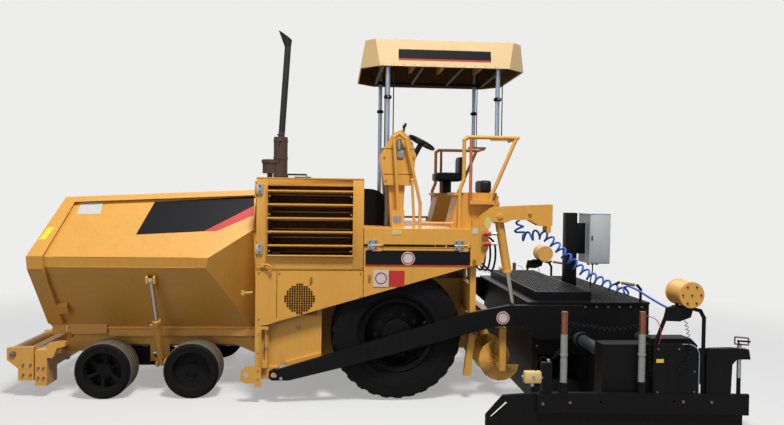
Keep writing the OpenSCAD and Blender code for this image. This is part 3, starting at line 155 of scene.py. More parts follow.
def weathered(
    name,
    colour,
    dust,
    wear,
    rough,
    metal=0.0,
    dusty=0.5,
    wear_share=0.3,
    low_dirt=0.5,
    soot_above=None,
    sheen=0.4,
):
    """A surface whose colour drifts, with dust where it faces up, dirt low down and worn spots.

    dusty, wear_share and low_dirt say how much of each there is, from 0 to 1.
    """
    material, tree = new_material(name)
    place = add_node(tree, "ShaderNodeTexCoord")
    where = (place, "Object")
    shape = add_node(tree, "ShaderNodeNewGeometry")
    # Broad fading, about half a metre across
    drift = add_node(tree, "ShaderNodeTexNoise", {"Vector": where, "Scale": 2.2, "Detail": 4.0})
    tones = {"Factor": (drift, "Fac"), "A": linear(colour, 0.88), "B": linear(colour, 1.1)}
    faded = add_node(tree, "ShaderNodeMix", tones, data_type="RGBA")
    # Rain streaks: noise drawn out along the height, about 40 mm apart
    stretch = add_node(tree, "ShaderNodeMapping", {"Vector": where, "Scale": (26.0, 26.0, 1.6)})
    runs = add_node(tree, "ShaderNodeTexNoise", {"Vector": (stretch, "Vector"), "Scale": 1.0, "Detail": 5.0})
    streak_range = {"Value": (runs, "Fac"), "From Min": 0.5, "From Max": 0.78, "To Max": 0.12}
    streak_mask = add_node(tree, "ShaderNodeMapRange", streak_range)
    tones = {"Factor": (streak_mask, "Result"), "A": (faded, "Result"), "B": linear(wear)}
    streaked = add_node(tree, "ShaderNodeMix", tones, data_type="RGBA")
    # Dust lies on what faces up, in patches about 60 mm across
    split = add_node(tree, "ShaderNodeSeparateXYZ", {"Vector": (shape, "Normal")})
    grit = {"Vector": where, "Scale": 16.0, "Detail": 8.0, "Roughness": 0.65}
    grain = add_node(tree, "ShaderNodeTexNoise", grit)
    up = add_node(tree, "ShaderNodeMapRange", {"Value": (split, "Z"), "From Min": 0.15, "From Max": 1.0})
    lying = add_node(tree, "ShaderNodeMath", {0: (up, "Result"), 1: (grain, "Fac")}, operation="MULTIPLY")
    # Dirt thickens toward the ground
    height = add_node(tree, "ShaderNodeSeparateXYZ", {"Vector": where})
    low_range = {"Value": (height, "Z"), "From Min": 1.1, "From Max": 0.05, "To Max": low_dirt}
    low = add_node(tree, "ShaderNodeMapRange", low_range)
    splashed = add_node(tree, "ShaderNodeMath", {0: (low, "Result"), 1: (grain, "Fac")}, operation="MULTIPLY")
    parts = {0: (lying, "Value"), 1: dusty, 2: (splashed, "Value")}
    dust_sum = add_node(tree, "ShaderNodeMath", parts, operation="MULTIPLY_ADD", use_clamp=True)
    tones = {"Factor": (dust_sum, "Value"), "A": (streaked, "Result"), "B": linear(dust)}
    dusted = add_node(tree, "ShaderNodeMix", tones, data_type="RGBA")
    # Chips and scuffs a few millimetres to a few centimetres across
    flakes = {"Vector": where, "Scale": 38.0, "Detail": 12.0, "Roughness": 0.72}
    chips = add_node(tree, "ShaderNodeTexNoise", flakes)
    chip_edge = 0.72 - 0.2 * wear_share
    chip_range = {"Value": (chips, "Fac"), "From Min": chip_edge, "From Max": chip_edge + 0.03}
    chip_mask = add_node(tree, "ShaderNodeMapRange", chip_range)
    tones = {"Factor": (chip_mask, "Result"), "A": (dusted, "Result"), "B": linear(wear)}
    worn = add_node(tree, "ShaderNodeMix", tones, data_type="RGBA")
    if soot_above is not None:
        # Soot on a hot pipe, from a height up
        soot_range = {"Value": (height, "Z"), "From Min": soot_above, "From Max": soot_above + 0.03}
        sooty = add_node(tree, "ShaderNodeMapRange", soot_range)
        tones = {"Factor": (sooty, "Result"), "A": (worn, "Result"), "B": linear("#141314")}
        worn = add_node(tree, "ShaderNodeMix", tones, data_type="RGBA")
    rough_range = {"Value": (dust_sum, "Value"), "To Min": rough, "To Max": min(1.0, rough + 0.35)}
    roughness = add_node(tree, "ShaderNodeMapRange", rough_range)
    # The skin of the paint, about 4 mm across, drawn coarser than the real one so that it shows
    skin = add_node(tree, "ShaderNodeTexNoise", {"Vector": where, "Scale": 240.0, "Detail": 3.0})
    relief = add_node(tree, "ShaderNodeBump", {"Height": (skin, "Fac"), "Strength": 0.12, "Distance": 0.002})
    pits = {"Height": (chip_mask, "Result"), "Normal": (relief, "Normal")}
    chipped = add_node(tree, "ShaderNodeBump", {**pits, "Strength": 0.25, "Distance": 0.002}, invert=True)
    shader_sockets = {
        "Base Color": (worn, "Result"),
        "Metallic": metal,
        "Roughness": (roughness, "Result"),
        "Normal": (chipped, "Normal"),
        "Specular IOR Level": sheen,
    }
    close_material(tree, shader_sockets)
    return material


def plain_finish(name, colour, rough, metal=0.0, variation=0.12, grain_scale=30.0, bump=0.15, sheen=0.3):
    """A finish with a fine mottling and a little relief, for small parts and stickers.

    grain_scale counts the mottles along a metre.
    """
    material, tree = new_material(name)
    place = add_node(tree, "ShaderNodeTexCoord")
    grit = {"Vector": (place, "Object"), "Scale": grain_scale, "Detail": 6.0}
    grain = add_node(tree, "ShaderNodeTexNoise", grit)
    tones = {"Factor": (grain, "Fac"), "A": linear(colour, 1 - variation), "B": linear(colour, 1 + variation)}
    mixed = add_node(tree, "ShaderNodeMix", tones, data_type="RGBA")
    limits = {"To Min": max(0.03, rough - 0.08), "To Max": min(1.0, rough + 0.08)}
    roughness = add_node(tree, "ShaderNodeMapRange", {"Value": (grain, "Fac"), **limits})
    relief = add_node(tree, "ShaderNodeBump", {"Height": (grain, "Fac"), "Strength": bump, "Distance": 0.001})
    shader_sockets = {
        "Base Color": (mixed, "Result"),
        "Metallic": metal,
        "Roughness": (roughness, "Result"),
        "Normal": (relief, "Normal"),
        "Specular IOR Level": sheen,
    }
    close_material(tree, shader_sockets)
    return material


def colour_choice(name, description, default):
    return bpy.props.StringProperty(name=name, description=description, default=default)


class PaverColours(bpy.types.PropertyGroup):
    """Colours of the finishes, as sRGB hex codes."""

    yellow: colour_choice("Yellow paint", "Enamel of the body panels", "#D2983F")
    black: colour_choice("Black paint", "Enamel of the screed and tow arms", "#0B0B0D")
    cream: colour_choice("Canopy", "Faded glass fibre of the canopy", "#CDAF7E")
    dust: colour_choice("Dust", "Dry road dust", "#8F7C60")
    rubber: colour_choice("Tyre rubber", "Tyre rubber", "#0F0F11")
    red: colour_choice("Red stripe", "Red film of the stripes", "#B42E2A")
    white: colour_choice("White film", "White film of the blank signs", "#BEBCB6")
    blue: colour_choice("Blue cable", "Sheath of the coiled cables", "#2A5CB4")
    grey: colour_choice("Cabinet grey", "Powder coat of the control cabinet", "#B0B4B6")


FINISHES = {}


def make_paints(colours):
    dust = colours.dust
    # Alkyd enamel over steel, sun-faded and dusty, with rust where it chips
    enamel = ("worn_yellow_enamel", colours.yellow, dust, "#7A5526", 0.42)
    FINISHES["yellow_paint"] = weathered(*enamel, dusty=0.14, wear_share=0.03, low_dirt=0.22)
    # The same enamel on the canisters, less faded and more scuffed
    enamel = ("canister_enamel", "#DDA450", dust, "#8A6238", 0.42)
    FINISHES["canister_yellow"] = weathered(*enamel, dusty=0.2, wear_share=0.15, low_dirt=0.0)
    # Black enamel dulled by asphalt mist
    enamel = ("sooty_black_enamel", colours.black, "#3A3631", "#2A2622", 0.5)
    FINISHES["black_paint"] = weathered(*enamel, dusty=0.06, wear_share=0.12, low_dirt=0.06, sheen=0.1)
    # Gel-coated glass fibre, chalky with age
    gel_coat = ("chalky_gel_coat", colours.cream, "#A08A66", "#B4935C", 0.5)
    FINISHES["cream_paint"] = weathered(*gel_coat, dusty=0.1, wear_share=0.03, low_dirt=0.0)
    # Cast aluminium housing of the sensors, in cream enamel with dust on top
    enamel = ("sensor_housing", "#DDBB72", dust, "#8A7348", 0.45)
    FINISHES["sensor_cream"] = weathered(*enamel, dusty=0.2, wear_share=0.1, low_dirt=0.1)
    # Powder-coated steel sheet of the control cabinet, even and a little glossy
    powder_coat = ("grey_powder_coat", colours.grey, "#8C8578", "#6E6A64", 0.4)
    FINISHES["grey_paint"] = weathered(*powder_coat, dusty=0.2, wear_share=0.1)
    # Red-lead primer on steel tube, left without a top coat
    FINISHES["red_lead"] = plain_finish("red_lead_primer", "#B8633C", 0.6, variation=0.2, grain_scale=18.0)


def make_metals():
    # Mild steel worn bare, dusty and browned by a film of rust
    steel = ("worn_bare_steel", "#6A645C", "#6E5A44", "#4B3A2C", 0.42)
    FINISHES["bare_steel"] = weathered(*steel, metal=0.7, dusty=0.5, wear_share=0.4)
    # Ground steel tube, dulled by grease and dust
    steel = ("dull_grey_steel", "#4A5156", "#5C564C", "#33302C", 0.38)
    FINISHES["grey_steel"] = weathered(*steel, metal=0.6, dusty=0.25, wear_share=0.15)
    # Cast iron under a film of oil, dark with a soft shine
    iron = ("oily_cast_iron", "#26272A", "#3A342C", "#1B1A1A", 0.5)
    FINISHES["engine_iron"] = weathered(*iron, metal=0.3, dusty=0.3, wear_share=0.3)
    # Mild steel burnt brown by heat, with soot near the mouth of the stack
    steel = ("rusty_hot_steel", "#3E2F29", "#5A4234", "#6B3C22", 0.7)
    FINISHES["burnt_steel"] = weathered(*steel, metal=0.1, dusty=0.2, wear_share=0.6, soot_above=2.80)
    # Hard chrome on a ground rod
    FINISHES["rod_chrome"] = plain_finish("hard_chrome", "#9C988F", 0.22, metal=1.0, variation=0.1, bump=0.02)
    # Hot-dip zinc, dull and faintly spangled
    spangle = {"metal": 0.75, "variation": 0.15, "grain_scale": 60.0}
    FINISHES["galvanised"] = plain_finish("galvanised_tube", "#8E99A6", 0.38, **spangle)
    # Zinc plating of fasteners and fittings, a dull silver
    FINISHES["zinc"] = plain_finish("zinc_plated_steel", "#8E9499", 0.35, metal=0.9, bump=0.1)
    # Steel threads under copper grease, reddish brown
    FINISHES["copper"] = plain_finish("tarnished_copper", "#8A5540", 0.4, metal=0.8, variation=0.2, bump=0.1)
    # Cast brass, tarnished to a dull brown
    FINISHES["brass"] = plain_finish("brass_fitting", "#8A6A34", 0.4, metal=0.8, variation=0.2)
    # Rail steel rubbed through its paint by hands, warm and brownish
    FINISHES["rubbed_steel"] = plain_finish("worn_grip_steel", "#8A6F4E", 0.45, metal=0.5, variation=0.25)
    # Cooler fins of aluminium, drawn dark brown
    FINISHES["cooler_fin"] = plain_finish("dark_brown_cooler_fin", "#4E3620", 0.8, variation=0.3, sheen=0.1)


def make_rubbers_and_plastics(colours):
    # Filled rubber, matt, with dust pressed into it
    rubber = ("dusty_tyre_rubber", colours.rubber, "#4A443A", "#1B1A18", 0.7)
    FINISHES["tyre"] = weathered(*rubber, dusty=0.1, wear_share=0.3, low_dirt=0.1, sheen=0.08)
    # Solid rubber tread with sandy dust pressed into it
    rubber = ("dusty_tread", "#4A4033", "#867C64", "#2A2620", 0.8)
    FINISHES["tread_rubber"] = weathered(*rubber, dusty=0.6, wear_share=0.3, low_dirt=0.8)
    # Smooth rubber cover of hoses and cords, a matt black
    cover = {"grain_scale": 90.0, "bump": 0.2, "sheen": 0.15}
    FINISHES["black_rubber"] = plain_finish("black_hose_rubber", "#0D0D0F", 0.55, **cover)
    # Grained vinyl of the seats, with a faint shine
    vinyl = {"grain_scale": 120.0, "bump": 0.4, "sheen": 0.2}
    FINISHES["seat_cover"] = plain_finish("black_vinyl", "#0E0E10", 0.5, **vinyl)
    # Moulded grips and cable glands look like the vinyl, but aren't of the seats' slot
    FINISHES["black_plastic"] = FINISHES["seat_cover"]
    # Glossy polyurethane sheath of the coiled cables
    FINISHES["blue_sheath"] = plain_finish("blue_cable_sheath", colours.blue, 0.4, bump=0.05)
    # Moulded nylon of caps and couplings, a sun-faded red
    FINISHES["red_plastic"] = plain_finish("red_cap_plastic", "#B8402C", 0.45, bump=0.05)
    # Plastic sleeves, once white, grey with dust
    dusty = {"variation": 0.25, "grain_scale": 25.0}
    FINISHES["white_sleeve"] = plain_finish("dusty_grey_sleeve", "#8F8F8C", 0.5, **dusty)


def make_films_and_shades(colours):
    # Cut vinyl film of the bands, stripes and blank signs, flat and smooth
    FINISHES["white_film"] = plain_finish("white_vinyl_film", colours.white, 0.45, variation=0.06, bump=0.03)
    FINISHES["red_film"] = plain_finish("red_vinyl_film", colours.red, 0.4, variation=0.06, bump=0.03)
    soft = {"variation": 0.1, "bump": 0.03, "sheen": 0.12}
    FINISHES["black_film"] = plain_finish("black_vinyl_film", "#0D0D10", 0.45, **soft)
    # Labels: a sun-faded one and a fresher yellow one
    FINISHES["pale_film"] = plain_finish("faded_label", "#C9B877", 0.5, variation=0.15, bump=0.03)
    FINISHES["yellow_film"] = plain_finish("yellow_label", "#E3CB3C", 0.45, variation=0.08, bump=0.03)
    # Unlit gaps behind mesh and between panels, with no shine at all
    FINISHES["void_black"] = plain_finish("shadowed_mesh", "#050505", 0.9, bump=0.3, sheen=0.0)
    # Yellow enamel in the shade behind the louvres
    FINISHES["louvre_shade"] = plain_finish("louvre_shade", "#7A5522", 0.8, variation=0.2, sheen=0.1)
    # Painted shade: dark brown for the shaded inside of the canopy's glass fibre
    FINISHES["canopy_shade_lining"] = plain_finish("canopy_shade_lining", "#5E4A2C", 0.8, variation=0.2, sheen=0.1)


# Shapes


def block(bm, low, high):
    """A box between two opposite corners."""
    xs, ys, zs = zip(low, high)
    corners = [bm.verts.new((x, y, z)) for x in xs for y in ys for z in zs]
    for f in ((0, 1, 3, 2), (4, 6, 7, 5), (0, 4, 5, 1), (2, 3, 7, 6), (0, 2, 6, 4), (1, 5, 7, 3)):
        bm.faces.new([corners[i] for i in f])


def loft(bm, rings, closed=False):
    """Skins a list of rings of points, with caps unless the rings close on themselves."""
    rows = [[bm.verts.new(p) for p in ring] for ring in rings]
    count = len(rows[0])
    pairs = list(zip(rows, rows[1:])) + ([(rows[-1], rows[0])] if closed else [])
    for a, b in pairs:
        for i in range(count):
            j = (i + 1) % count
            bm.faces.new((a[i], a[j], b[j], b[i]))
    if not closed:
        bm.faces.new(rows[0][::-1])
        bm.faces.new(rows[-1])


def side_frame(direction):
    """Two directions at right angles to a given one."""
    d = Vector(direction).normalized()
    helper = UP if abs(d.z) < 0.9 else Vector((1, 0, 0))
    u = d.cross(helper).normalized()
    return u, d.cross(u)


def turns(count, start=0.0):
    """Angles evenly round a full turn."""
    return [start + 2 * math.pi * i / count for i in range(count)]


def rod(bm, a, b, radius, sides=16, radius_b=None):
    """A round bar from a to b, tapered when a second radius is given."""
    u, v = side_frame(b - a)
    rings = []
    for centre, r in ((a, radius), (b, radius if radius_b is None else radius_b)):
        rings.append([centre + r * (math.cos(t) * u + math.sin(t) * v) for t in turns(sides)])
    loft(bm, rings)


def swept(bm, points, radius, sides=10):
    """A round tube along a route, turned as little as its bends need."""
    last = len(points) - 1
    tangents = [(points[min(i + 1, last)] - points[max(i - 1, 0)]).normalized() for i in range(len(points))]
    u, v = side_frame(tangents[0])
    rings = []
    for p, t in zip(points, tangents):
        u = (u - t * u.dot(t)).normalized()
        v = t.cross(u)
        rings.append([p + radius * (math.cos(a) * u + math.sin(a) * v) for a in turns(sides)])
    loft(bm, rings)


def turned(bm, profile, centre, axis, sides=32):
    """A profile of (radius, distance along the axis) turned round an axis, closed on itself."""
    u, v = side_frame(axis)
    rings = []
    for t in turns(sides):
        out = math.cos(t) * u + math.sin(t) * v
        rings.append([centre + r * out + s * axis for r, s in profile])
    loft(bm, rings, closed=True)


def disc(bm, centre, axis, radius, thickness, sides=32):
    """A round plate whose back lies on its centre point."""
    rod(bm, centre, centre + axis * thickness, radius, sides)


def band(inner, outer, low, high):
    """The square profile of a ring, for turned."""
    return [(inner, low), (outer, low), (outer, high), (inner, high)]


def framed(outer, inner, y0, y1):
    """Rows of blocks for a flat frame between two rectangles of (x0, x1, z0, z1)."""
    x0, x1, z0, z1 = outer
    a0, a1, b0, b1 = inner
    bars = ((x0, z0, a0, z1), (a1, z0, x1, z1), (a0, z0, a1, b0), (a0, b1, a1, z1))
    return [(block, (xa, y0, za), (xb, y1, zb)) for xa, za, xb, zb in bars]


def grown(rectangle, width):
    """A rectangle of (x0, x1, z0, z1), wider all round, or narrower for a negative width."""
    x0, x1, z0, z1 = rectangle
    return x0 - width, x1 + width, z0 - width, z1 + width


def smooth_route(points, steps=8):
    """A Catmull-Rom curve through the points."""
    p = [2 * points[0] - points[1]] + points + [2 * points[-1] - points[-2]]
    out = []
    for i in range(1, len(p) - 2):
        a, b, c, d = p[i - 1 : i + 3]
        for k in range(steps):
            t = k / steps
            square, cube = 2 * a - 5 * b + 4 * c - d, 3 * b - a - 3 * c + d
            out.append(0.5 * ((2 * b) + (c - a) * t + square * t * t + cube * t ** 3))
    out.append(p[-2])
    return out


def new_object(name, mesh):
    thing = bpy.data.objects.new(name, mesh)
    bpy.context.scene.collection.objects.link(thing)
    return thing


def settle(piece):
    """Applies the piece's modifiers to its mesh."""
    graph = bpy.context.evaluated_depsgraph_get()
    mesh = bpy.data.meshes.new_from_object(piece.evaluated_get(graph))
    old = piece.data
    piece.modifiers.clear()
    piece.data = mesh
    mesh.name = piece.name
    bpy.data.meshes.remove(old)


def seat(piece, body, smooth):
    """Smooths a piece up to an angle in degrees, and gives it its body."""
    piece.data.shade_smooth()
    piece.data.set_sharp_from_angle(angle=math.radians(smooth))
    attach(piece, body)
    return piece


def build(side, name, finish, body, shapes, bevel=0.0, smooth=30.0):
    """One named piece that rides on a body, from rows that hold a shape's function and what it takes."""
    bm = bmesh.new()
    for shape, *given in shapes:
        shape(bm, *side.placed(given))
    bmesh.ops.remove_doubles(bm, verts=bm.verts, dist=1e-6)
    bmesh.ops.recalc_face_normals(bm, faces=bm.faces)
    mesh = bpy.data.meshes.new(name + side.suffix)
    bm.to_mesh(mesh)
    bm.free()
    mesh.materials.append(FINISHES[finish])
    piece = new_object(name + side.suffix, mesh)
    if bevel:
        modifier = piece.modifiers.new("bevel", "BEVEL")
        modifier.width = bevel
        modifier.segments = 2
        modifier.limit_method = "ANGLE"
        modifier.angle_limit = math.radians(35)
        modifier.use_clamp_overlap = True
        settle(piece)
    return seat(piece, side.body(body), smooth)


# Repeats


def repeat_tree(name, shape_of):
    """A tree that sets one shape on every point of a mesh, turned one way, and paints it."""
    tree = bpy.data.node_groups.new(name, "GeometryNodeTree")
    kinds = {"Points": "Geometry", "Size": "Vector", "Sides": "Int", "Turn": "Rotation", "Finish": "Material"}
    for label, kind in kinds.items():
        tree.interface.new_socket(name=label, in_out="INPUT", socket_type=f"NodeSocket{kind}")
    tree.interface.new_socket(name="Geometry", in_out="OUTPUT", socket_type="NodeSocketGeometry")
    given = add_node(tree, "NodeGroupInput")
    shape = shape_of(tree, given)
    links = {"Points": (given, "Points"), "Instance": (shape, "Mesh"), "Rotation": (given, "Turn")}
    spread = add_node(tree, "GeometryNodeInstanceOnPoints", links)
    real = add_node(tree, "GeometryNodeRealizeInstances", {"Geometry": (spread, "Instances")})
    links = {"Geometry": (real, "Geometry"), "Material": (given, "Finish")}
    painted = add_node(tree, "GeometryNodeSetMaterial", links)
    add_node(tree, "NodeGroupOutput", {"Geometry": (painted, "Geometry")})
    return tree


def stud_shape(tree, given):
    """A round or many-sided head: Size is its radius, its top's radius and its height."""
    size = add_node(tree, "ShaderNodeSeparateXYZ", {"Vector": (given, "Size")})
    links = {"Radius Bottom": (size, "X"), "Radius Top": (size, "Y"), "Depth": (size, "Z")}
    return add_node(tree, "GeometryNodeMeshCone", {"Vertices": (given, "Sides"), **links})


def bar_shape(tree, given):
    """A square bar as large as Size."""
    return add_node(tree, "GeometryNodeMeshCube", {"Size": (given, "Size")})


def repeated(side, name, finish, body, places, values, shape_of):
    """Sets one shape on a list of places, with the tree's inputs by name."""
    tree = bpy.data.node_groups.get(shape_of.__name__) or repeat_tree(shape_of.__name__, shape_of)
    mesh = bpy.data.meshes.new(name + side.suffix)
    mesh.from_pydata([tuple(p) for p in side.placed(places)], [], [])
    piece = new_object(name + side.suffix, mesh)
    modifier = piece.modifiers.new("repeat", "NODES")
    modifier.node_group = tree
    values = {**values, "Finish": FINISHES[finish]}
    for item in tree.interface.items_tree:
        if item.item_type == "SOCKET" and item.in_out == "INPUT" and item.name in values:
            modifier[item.identifier] = values[item.name]
    settle(piece)
    return seat(piece, side.body(body), 30.0)


def studs(side, name, finish, body, places, size, sides=6, facing=None):
    """Heads of (radius, top's radius, height) that face outward, or another way."""
    turn = (side.out if facing is None else facing).to_track_quat("Z", "Y").to_euler()
    values = {"Size": size, "Sides": sides, "Turn": turn}
    return repeated(side, name, finish, body, places, values, stud_shape)


def bars(side, name, finish, body, places, size, turn=UNTURNED):
    """Square bars of a size on a list of places."""
    return repeated(side, name, finish, body, places, {"Size": size, "Turn": turn}, bar_shape)


def ring_places(centre, axis, radius, count, start=0.0):
    """Places evenly round a circle about an axis."""
    u, v = side_frame(axis)
    return [centre + radius * (math.cos(t) * u + math.sin(t) * v) for t in turns(count, start)]


# Cords


def curly_route(points, radius, windings, steps=12):
    """A helix about a smooth route, that starts and ends on it."""
    line = smooth_route(points, 10)
    lengths = [0.0]
    for a, b in zip(line, line[1:]):
        lengths.append(lengths[-1] + (b - a).length)
    u, _ = side_frame(line[1] - line[0])
    out = [line[0]]
    count = windings * steps
    k = 0
    for i in range(1, count):
        s = lengths[-1] * i / count
        while lengths[k + 1] < s:
            k += 1
        share = (s - lengths[k]) / (lengths[k + 1] - lengths[k])
        middle = line[k].lerp(line[k + 1], share)
        along = (line[k + 1] - line[k]).normalized()
        u = (u - along * u.dot(along)).normalized()
        v = along.cross(u)
        angle = 2 * math.pi * i / steps
        # The first and last half turn open out from the line
        open_share = min(1.0, 2 * i / steps, 2 * (count - i) / steps)
        out.append(middle + radius * open_share * (math.cos(angle) * u + math.sin(angle) * v))
    out.append(line[-1])
    return out


def free_cord(name, route, diameter, finish, body=None, across=None):
    """A cord along a route.

    across names two bodies and two places between them, but only whether it is given is used: such a cord
    rides on no body.
    """
    bm = bmesh.new()
    swept(bm, route, diameter / 2, 8)
    mesh = bpy.data.meshes.new(name)
    bmesh.ops.recalc_face_normals(bm, faces=bm.faces)
    bm.to_mesh(mesh)
    bm.free()
    mesh.materials.append(FINISHES[finish])
    mesh.shade_smooth()
    piece = new_object(name, mesh)
    if across:
        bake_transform(piece)
    else:
        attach(piece, body)


class PaverSizes(bpy.types.PropertyGroup):
    """Sizes of the trim, in metres."""

    coil_radius: bpy.props.FloatProperty(
        name="Coil radius", description="Radius of the blue cable's turns", default=0.045, unit="LENGTH"
    )
    coil_turns: bpy.props.IntProperty(name="Coil turns", description="Turns of the blue cable", default=18)
    cable: bpy.props.FloatProperty(
        name="Cable", description="Diameter of the blue cable", default=0.022, unit="LENGTH"
    )
    film: bpy.props.FloatProperty(
        name="Film", description="Thickness at which a film is drawn", default=0.002, unit="LENGTH"
    )


class PAVER_OT_cables(bpy.types.Operator):
    """Lays the blue cable to the screed and the curly cords of its sensors"""

    bl_idname = "paver.cables"
    bl_label = "Cables"

    def execute(self, context):
        lay_blue_cable(context.scene.paver_sizes)
        for side in SIDES:
            lay_gate_cords(side)
        return {"FINISHED"}


def lay_blue_cable(sizes):
    # From under the left lift bracket's tail down to the walkway's rail
    line = [
        (1.250, -1.131, 1.846),
        (1.245, -1.145, 1.760),
        (1.270, -1.150, 1.690),
        (1.350, -1.150, 1.680),
        (1.440, -1.150, 1.700),
        (1.517, -1.150, 1.684),
        (1.603, -1.150, 1.613),
        (1.678, -1.150, 1.541),
        (1.785, -1.150, 1.438),
        (1.893, -1.150, 1.346),
        (2.000, -1.150, 1.274),
        (2.108, -1.150, 1.223),
        (2.237, -1.150, 1.161),
        (2.345, -1.152, 1.109),
        (2.382, -1.162, 1.135),
        (2.395, -1.168, 1.176),
    ]
    coil = curly_route(MIDDLE.placed(line), sizes.coil_radius, sizes.coil_turns)
    across = ("chassis", "screed", MIDDLE.at(1.35, -1.15, 1.70), MIDDLE.at(2.15, -1.15, 1.20))
    free_cord("coiled_cable", coil, sizes.cable, "blue_sheath", across=across)
    # From there over to the canister on the end gate
    onward = [
        (2.395, -1.170, 1.176),
        (2.400, -1.250, 1.172),
        (2.405, -1.400, 1.160),
        (2.420, -1.600, 1.125),
        (2.440, -1.800, 1.090),
        (2.450, -1.980, 1.072),
        (2.450, -2.100, 1.085),
        (2.448, -2.145, 1.130),
    ]
    across = ("screed", "extension_left", MIDDLE.at(2.40, -1.35, 1.1), MIDDLE.at(2.45, -2.0, 1.1))
    route = smooth_route(MIDDLE.placed(onward))
    free_cord("canister_cable", route, sizes.cable, "blue_sheath", across=across)


def lay_gate_cords(side):
    """Curly cords and thin leads between the depth screws, the sensor and the canister."""
    y = GATE_Y
    bar_line = [(1.398, y, 0.985), (1.600, 2.260, 0.955), (1.800, 2.260, 0.930), (2.046, y, 0.965)]
    screw_line = [(2.100, y, 0.970), (2.135, y, 0.850), (2.142, y, 0.660), (2.165, y, 0.500)]
    canister_line = [(2.450, PLATE_Y, 1.015), (2.475, 2.300, 0.880)]
    canister_line += [(2.480, 2.304, 0.700), (2.380, 2.300, 0.560)]
    sensor_line = [(1.330, y, 0.760), (1.300, y, 0.700), (1.260, y, 0.670), (1.235, y, 0.650)]
    curls = (
        # name, line, radius of the curls, how many
        ("bar_cord", bar_line, 0.013, 14),
        ("screw_cord", screw_line, 0.014, 13),
        ("canister_cord", canister_line, 0.013, 14),
        ("sensor_cord", sensor_line, 0.012, 6),
    )
    body = side.body("extension")
    for name, line, radius, windings in curls:
        route = curly_route(side.placed(line), radius, windings)
        free_cord(name + side.suffix, route, 0.006, "black_rubber", body)
    lead = [(1.235, y, 0.650), (1.190, y, 0.690), (1.135, y, 0.640), (1.120, y, 0.560)]
    free_cord("sensor_lead" + side.suffix, smooth_route(side.placed(lead)), 0.008, "black_rubber", body)
    loop = [(2.110, y, 1.050), (2.190, y + 0.01, 1.020), (2.235, y + 0.01, 0.930), (2.230, y + 0.01, 0.830)]
    loop.append((2.190, y, 0.740))
    free_cord("red_lead" + side.suffix, smooth_route(side.placed(loop)), 0.007, "red_plastic", body)


# CAD finishes


class PAVER_OT_finishes(bpy.types.Operator):
    """Gives every CAD node its finish"""

    bl_idname = "paver.finishes"
    bl_label = "Finishes"

    def execute(self, context):
        slots = {s["node"]: s["material_slot"] for s in frame["record"]["subparts"]}
        for name, node in frame["nodes"].items():
            node.data.materials.clear()
            node.data.materials.append(FINISHES[slots[name]])
            node.data.shade_smooth()
            node.data.set_sharp_from_angle(angle=math.radians(25))
        return {"FINISHED"}


# Stage

# Photograph's camera: its place, turn and lens, fitted to the machine's edges
CAMERA_PLACE = (-0.616, -8.272, 2.073)
CAMERA_YAW = math.radians(4.43)
CAMERA_PITCH = math.radians(1.33)
CAMERA_ROLL = math.radians(0.78)
FOCAL_PIXELS = 707.1
IMAGE_WIDTH = 784
SENSOR_WIDTH = 36.0
# Colour of the plain backdrop and of the far floor
BACKDROP = "#EDEDEC"


class PAVER_OT_stage(bpy.types.Operator):
    """Makes the finishes, the floor, the lamps, the world and the photograph's camera"""

    bl_idname = "paver.stage"
    bl_label = "Stage"

    def execute(self, context):
        scene = context.scene
        scene.view_settings.view_transform = "Standard"
        make_paints(scene.paver_colours)
        make_metals()
        make_rubbers_and_plastics(scene.paver_colours)
        make_films_and_shades(scene.paver_colours)
        make_floor()
        make_lamps()
        make_world(scene)
        make_camera(scene)
        return {"FINISHED"}


def seen_ray(tree):
    """A value of 1 on rays that show the backdrop: the camera's, and those by way of shine or glass."""
    path = add_node(tree, "ShaderNodeLightPath")
    direct = {0: (path, "Is Camera Ray"), 1: (path, "Is Glossy Ray")}
    shiny = add_node(tree, "ShaderNodeMath", direct, operation="MAXIMUM")
    through = {0: (shiny, "Value"), 1: (path, "Is Transmission Ray")}
    return add_node(tree, "ShaderNodeMath", through, operation="MAXIMUM")


def make_floor():
    """A pale floor that fades into the plain backdrop, and darker where it only throws light back."""
    bm = bmesh.new()
    block(bm, (-30, -30, -0.02), (30, 30, -0.001))
    mesh = bpy.data.meshes.new("floor")
    bm.to_mesh(mesh)
    bm.free()
    material, tree = new_material("pale_floor")
    lit = add_node(tree, "ShaderNodeBsdfDiffuse", {"Color": linear("#6C6A67")})
    pale = add_node(tree, "ShaderNodeBsdfDiffuse", {"Color": linear("#A6A6A4")})
    glow = add_node(tree, "ShaderNodeEmission", {"Color": linear(BACKDROP), "Strength": 0.4})
    near = add_node(tree, "ShaderNodeAddShader", {0: (pale, "BSDF"), 1: (glow, "Emission")})
    place = add_node(tree, "ShaderNodeTexCoord")
    reach = add_node(tree, "ShaderNodeVectorMath", {0: (place, "Object")}, operation="LENGTH")
    limits = {"Value": (reach, "Value"), "From Min": 4.5, "From Max": 10.0}
    far_share = add_node(tree, "ShaderNodeMapRange", limits, interpolation_type="SMOOTHSTEP")
    plain = add_node(tree, "ShaderNodeEmission", {"Color": linear(BACKDROP), "Strength": 1.0})
    shaders = {"Fac": (far_share, "Result"), 1: (near, "Shader"), 2: (plain, "Emission")}
    floor_seen = add_node(tree, "ShaderNodeMixShader", shaders)
    shaders = {"Fac": (seen_ray(tree), "Value"), 1: (lit, "BSDF"), 2: (floor_seen, "Shader")}
    shown = add_node(tree, "ShaderNodeMixShader", shaders)
    add_node(tree, "ShaderNodeOutputMaterial", {"Surface": (shown, "Shader")})
    mesh.materials.append(material)
    new_object("floor", mesh)


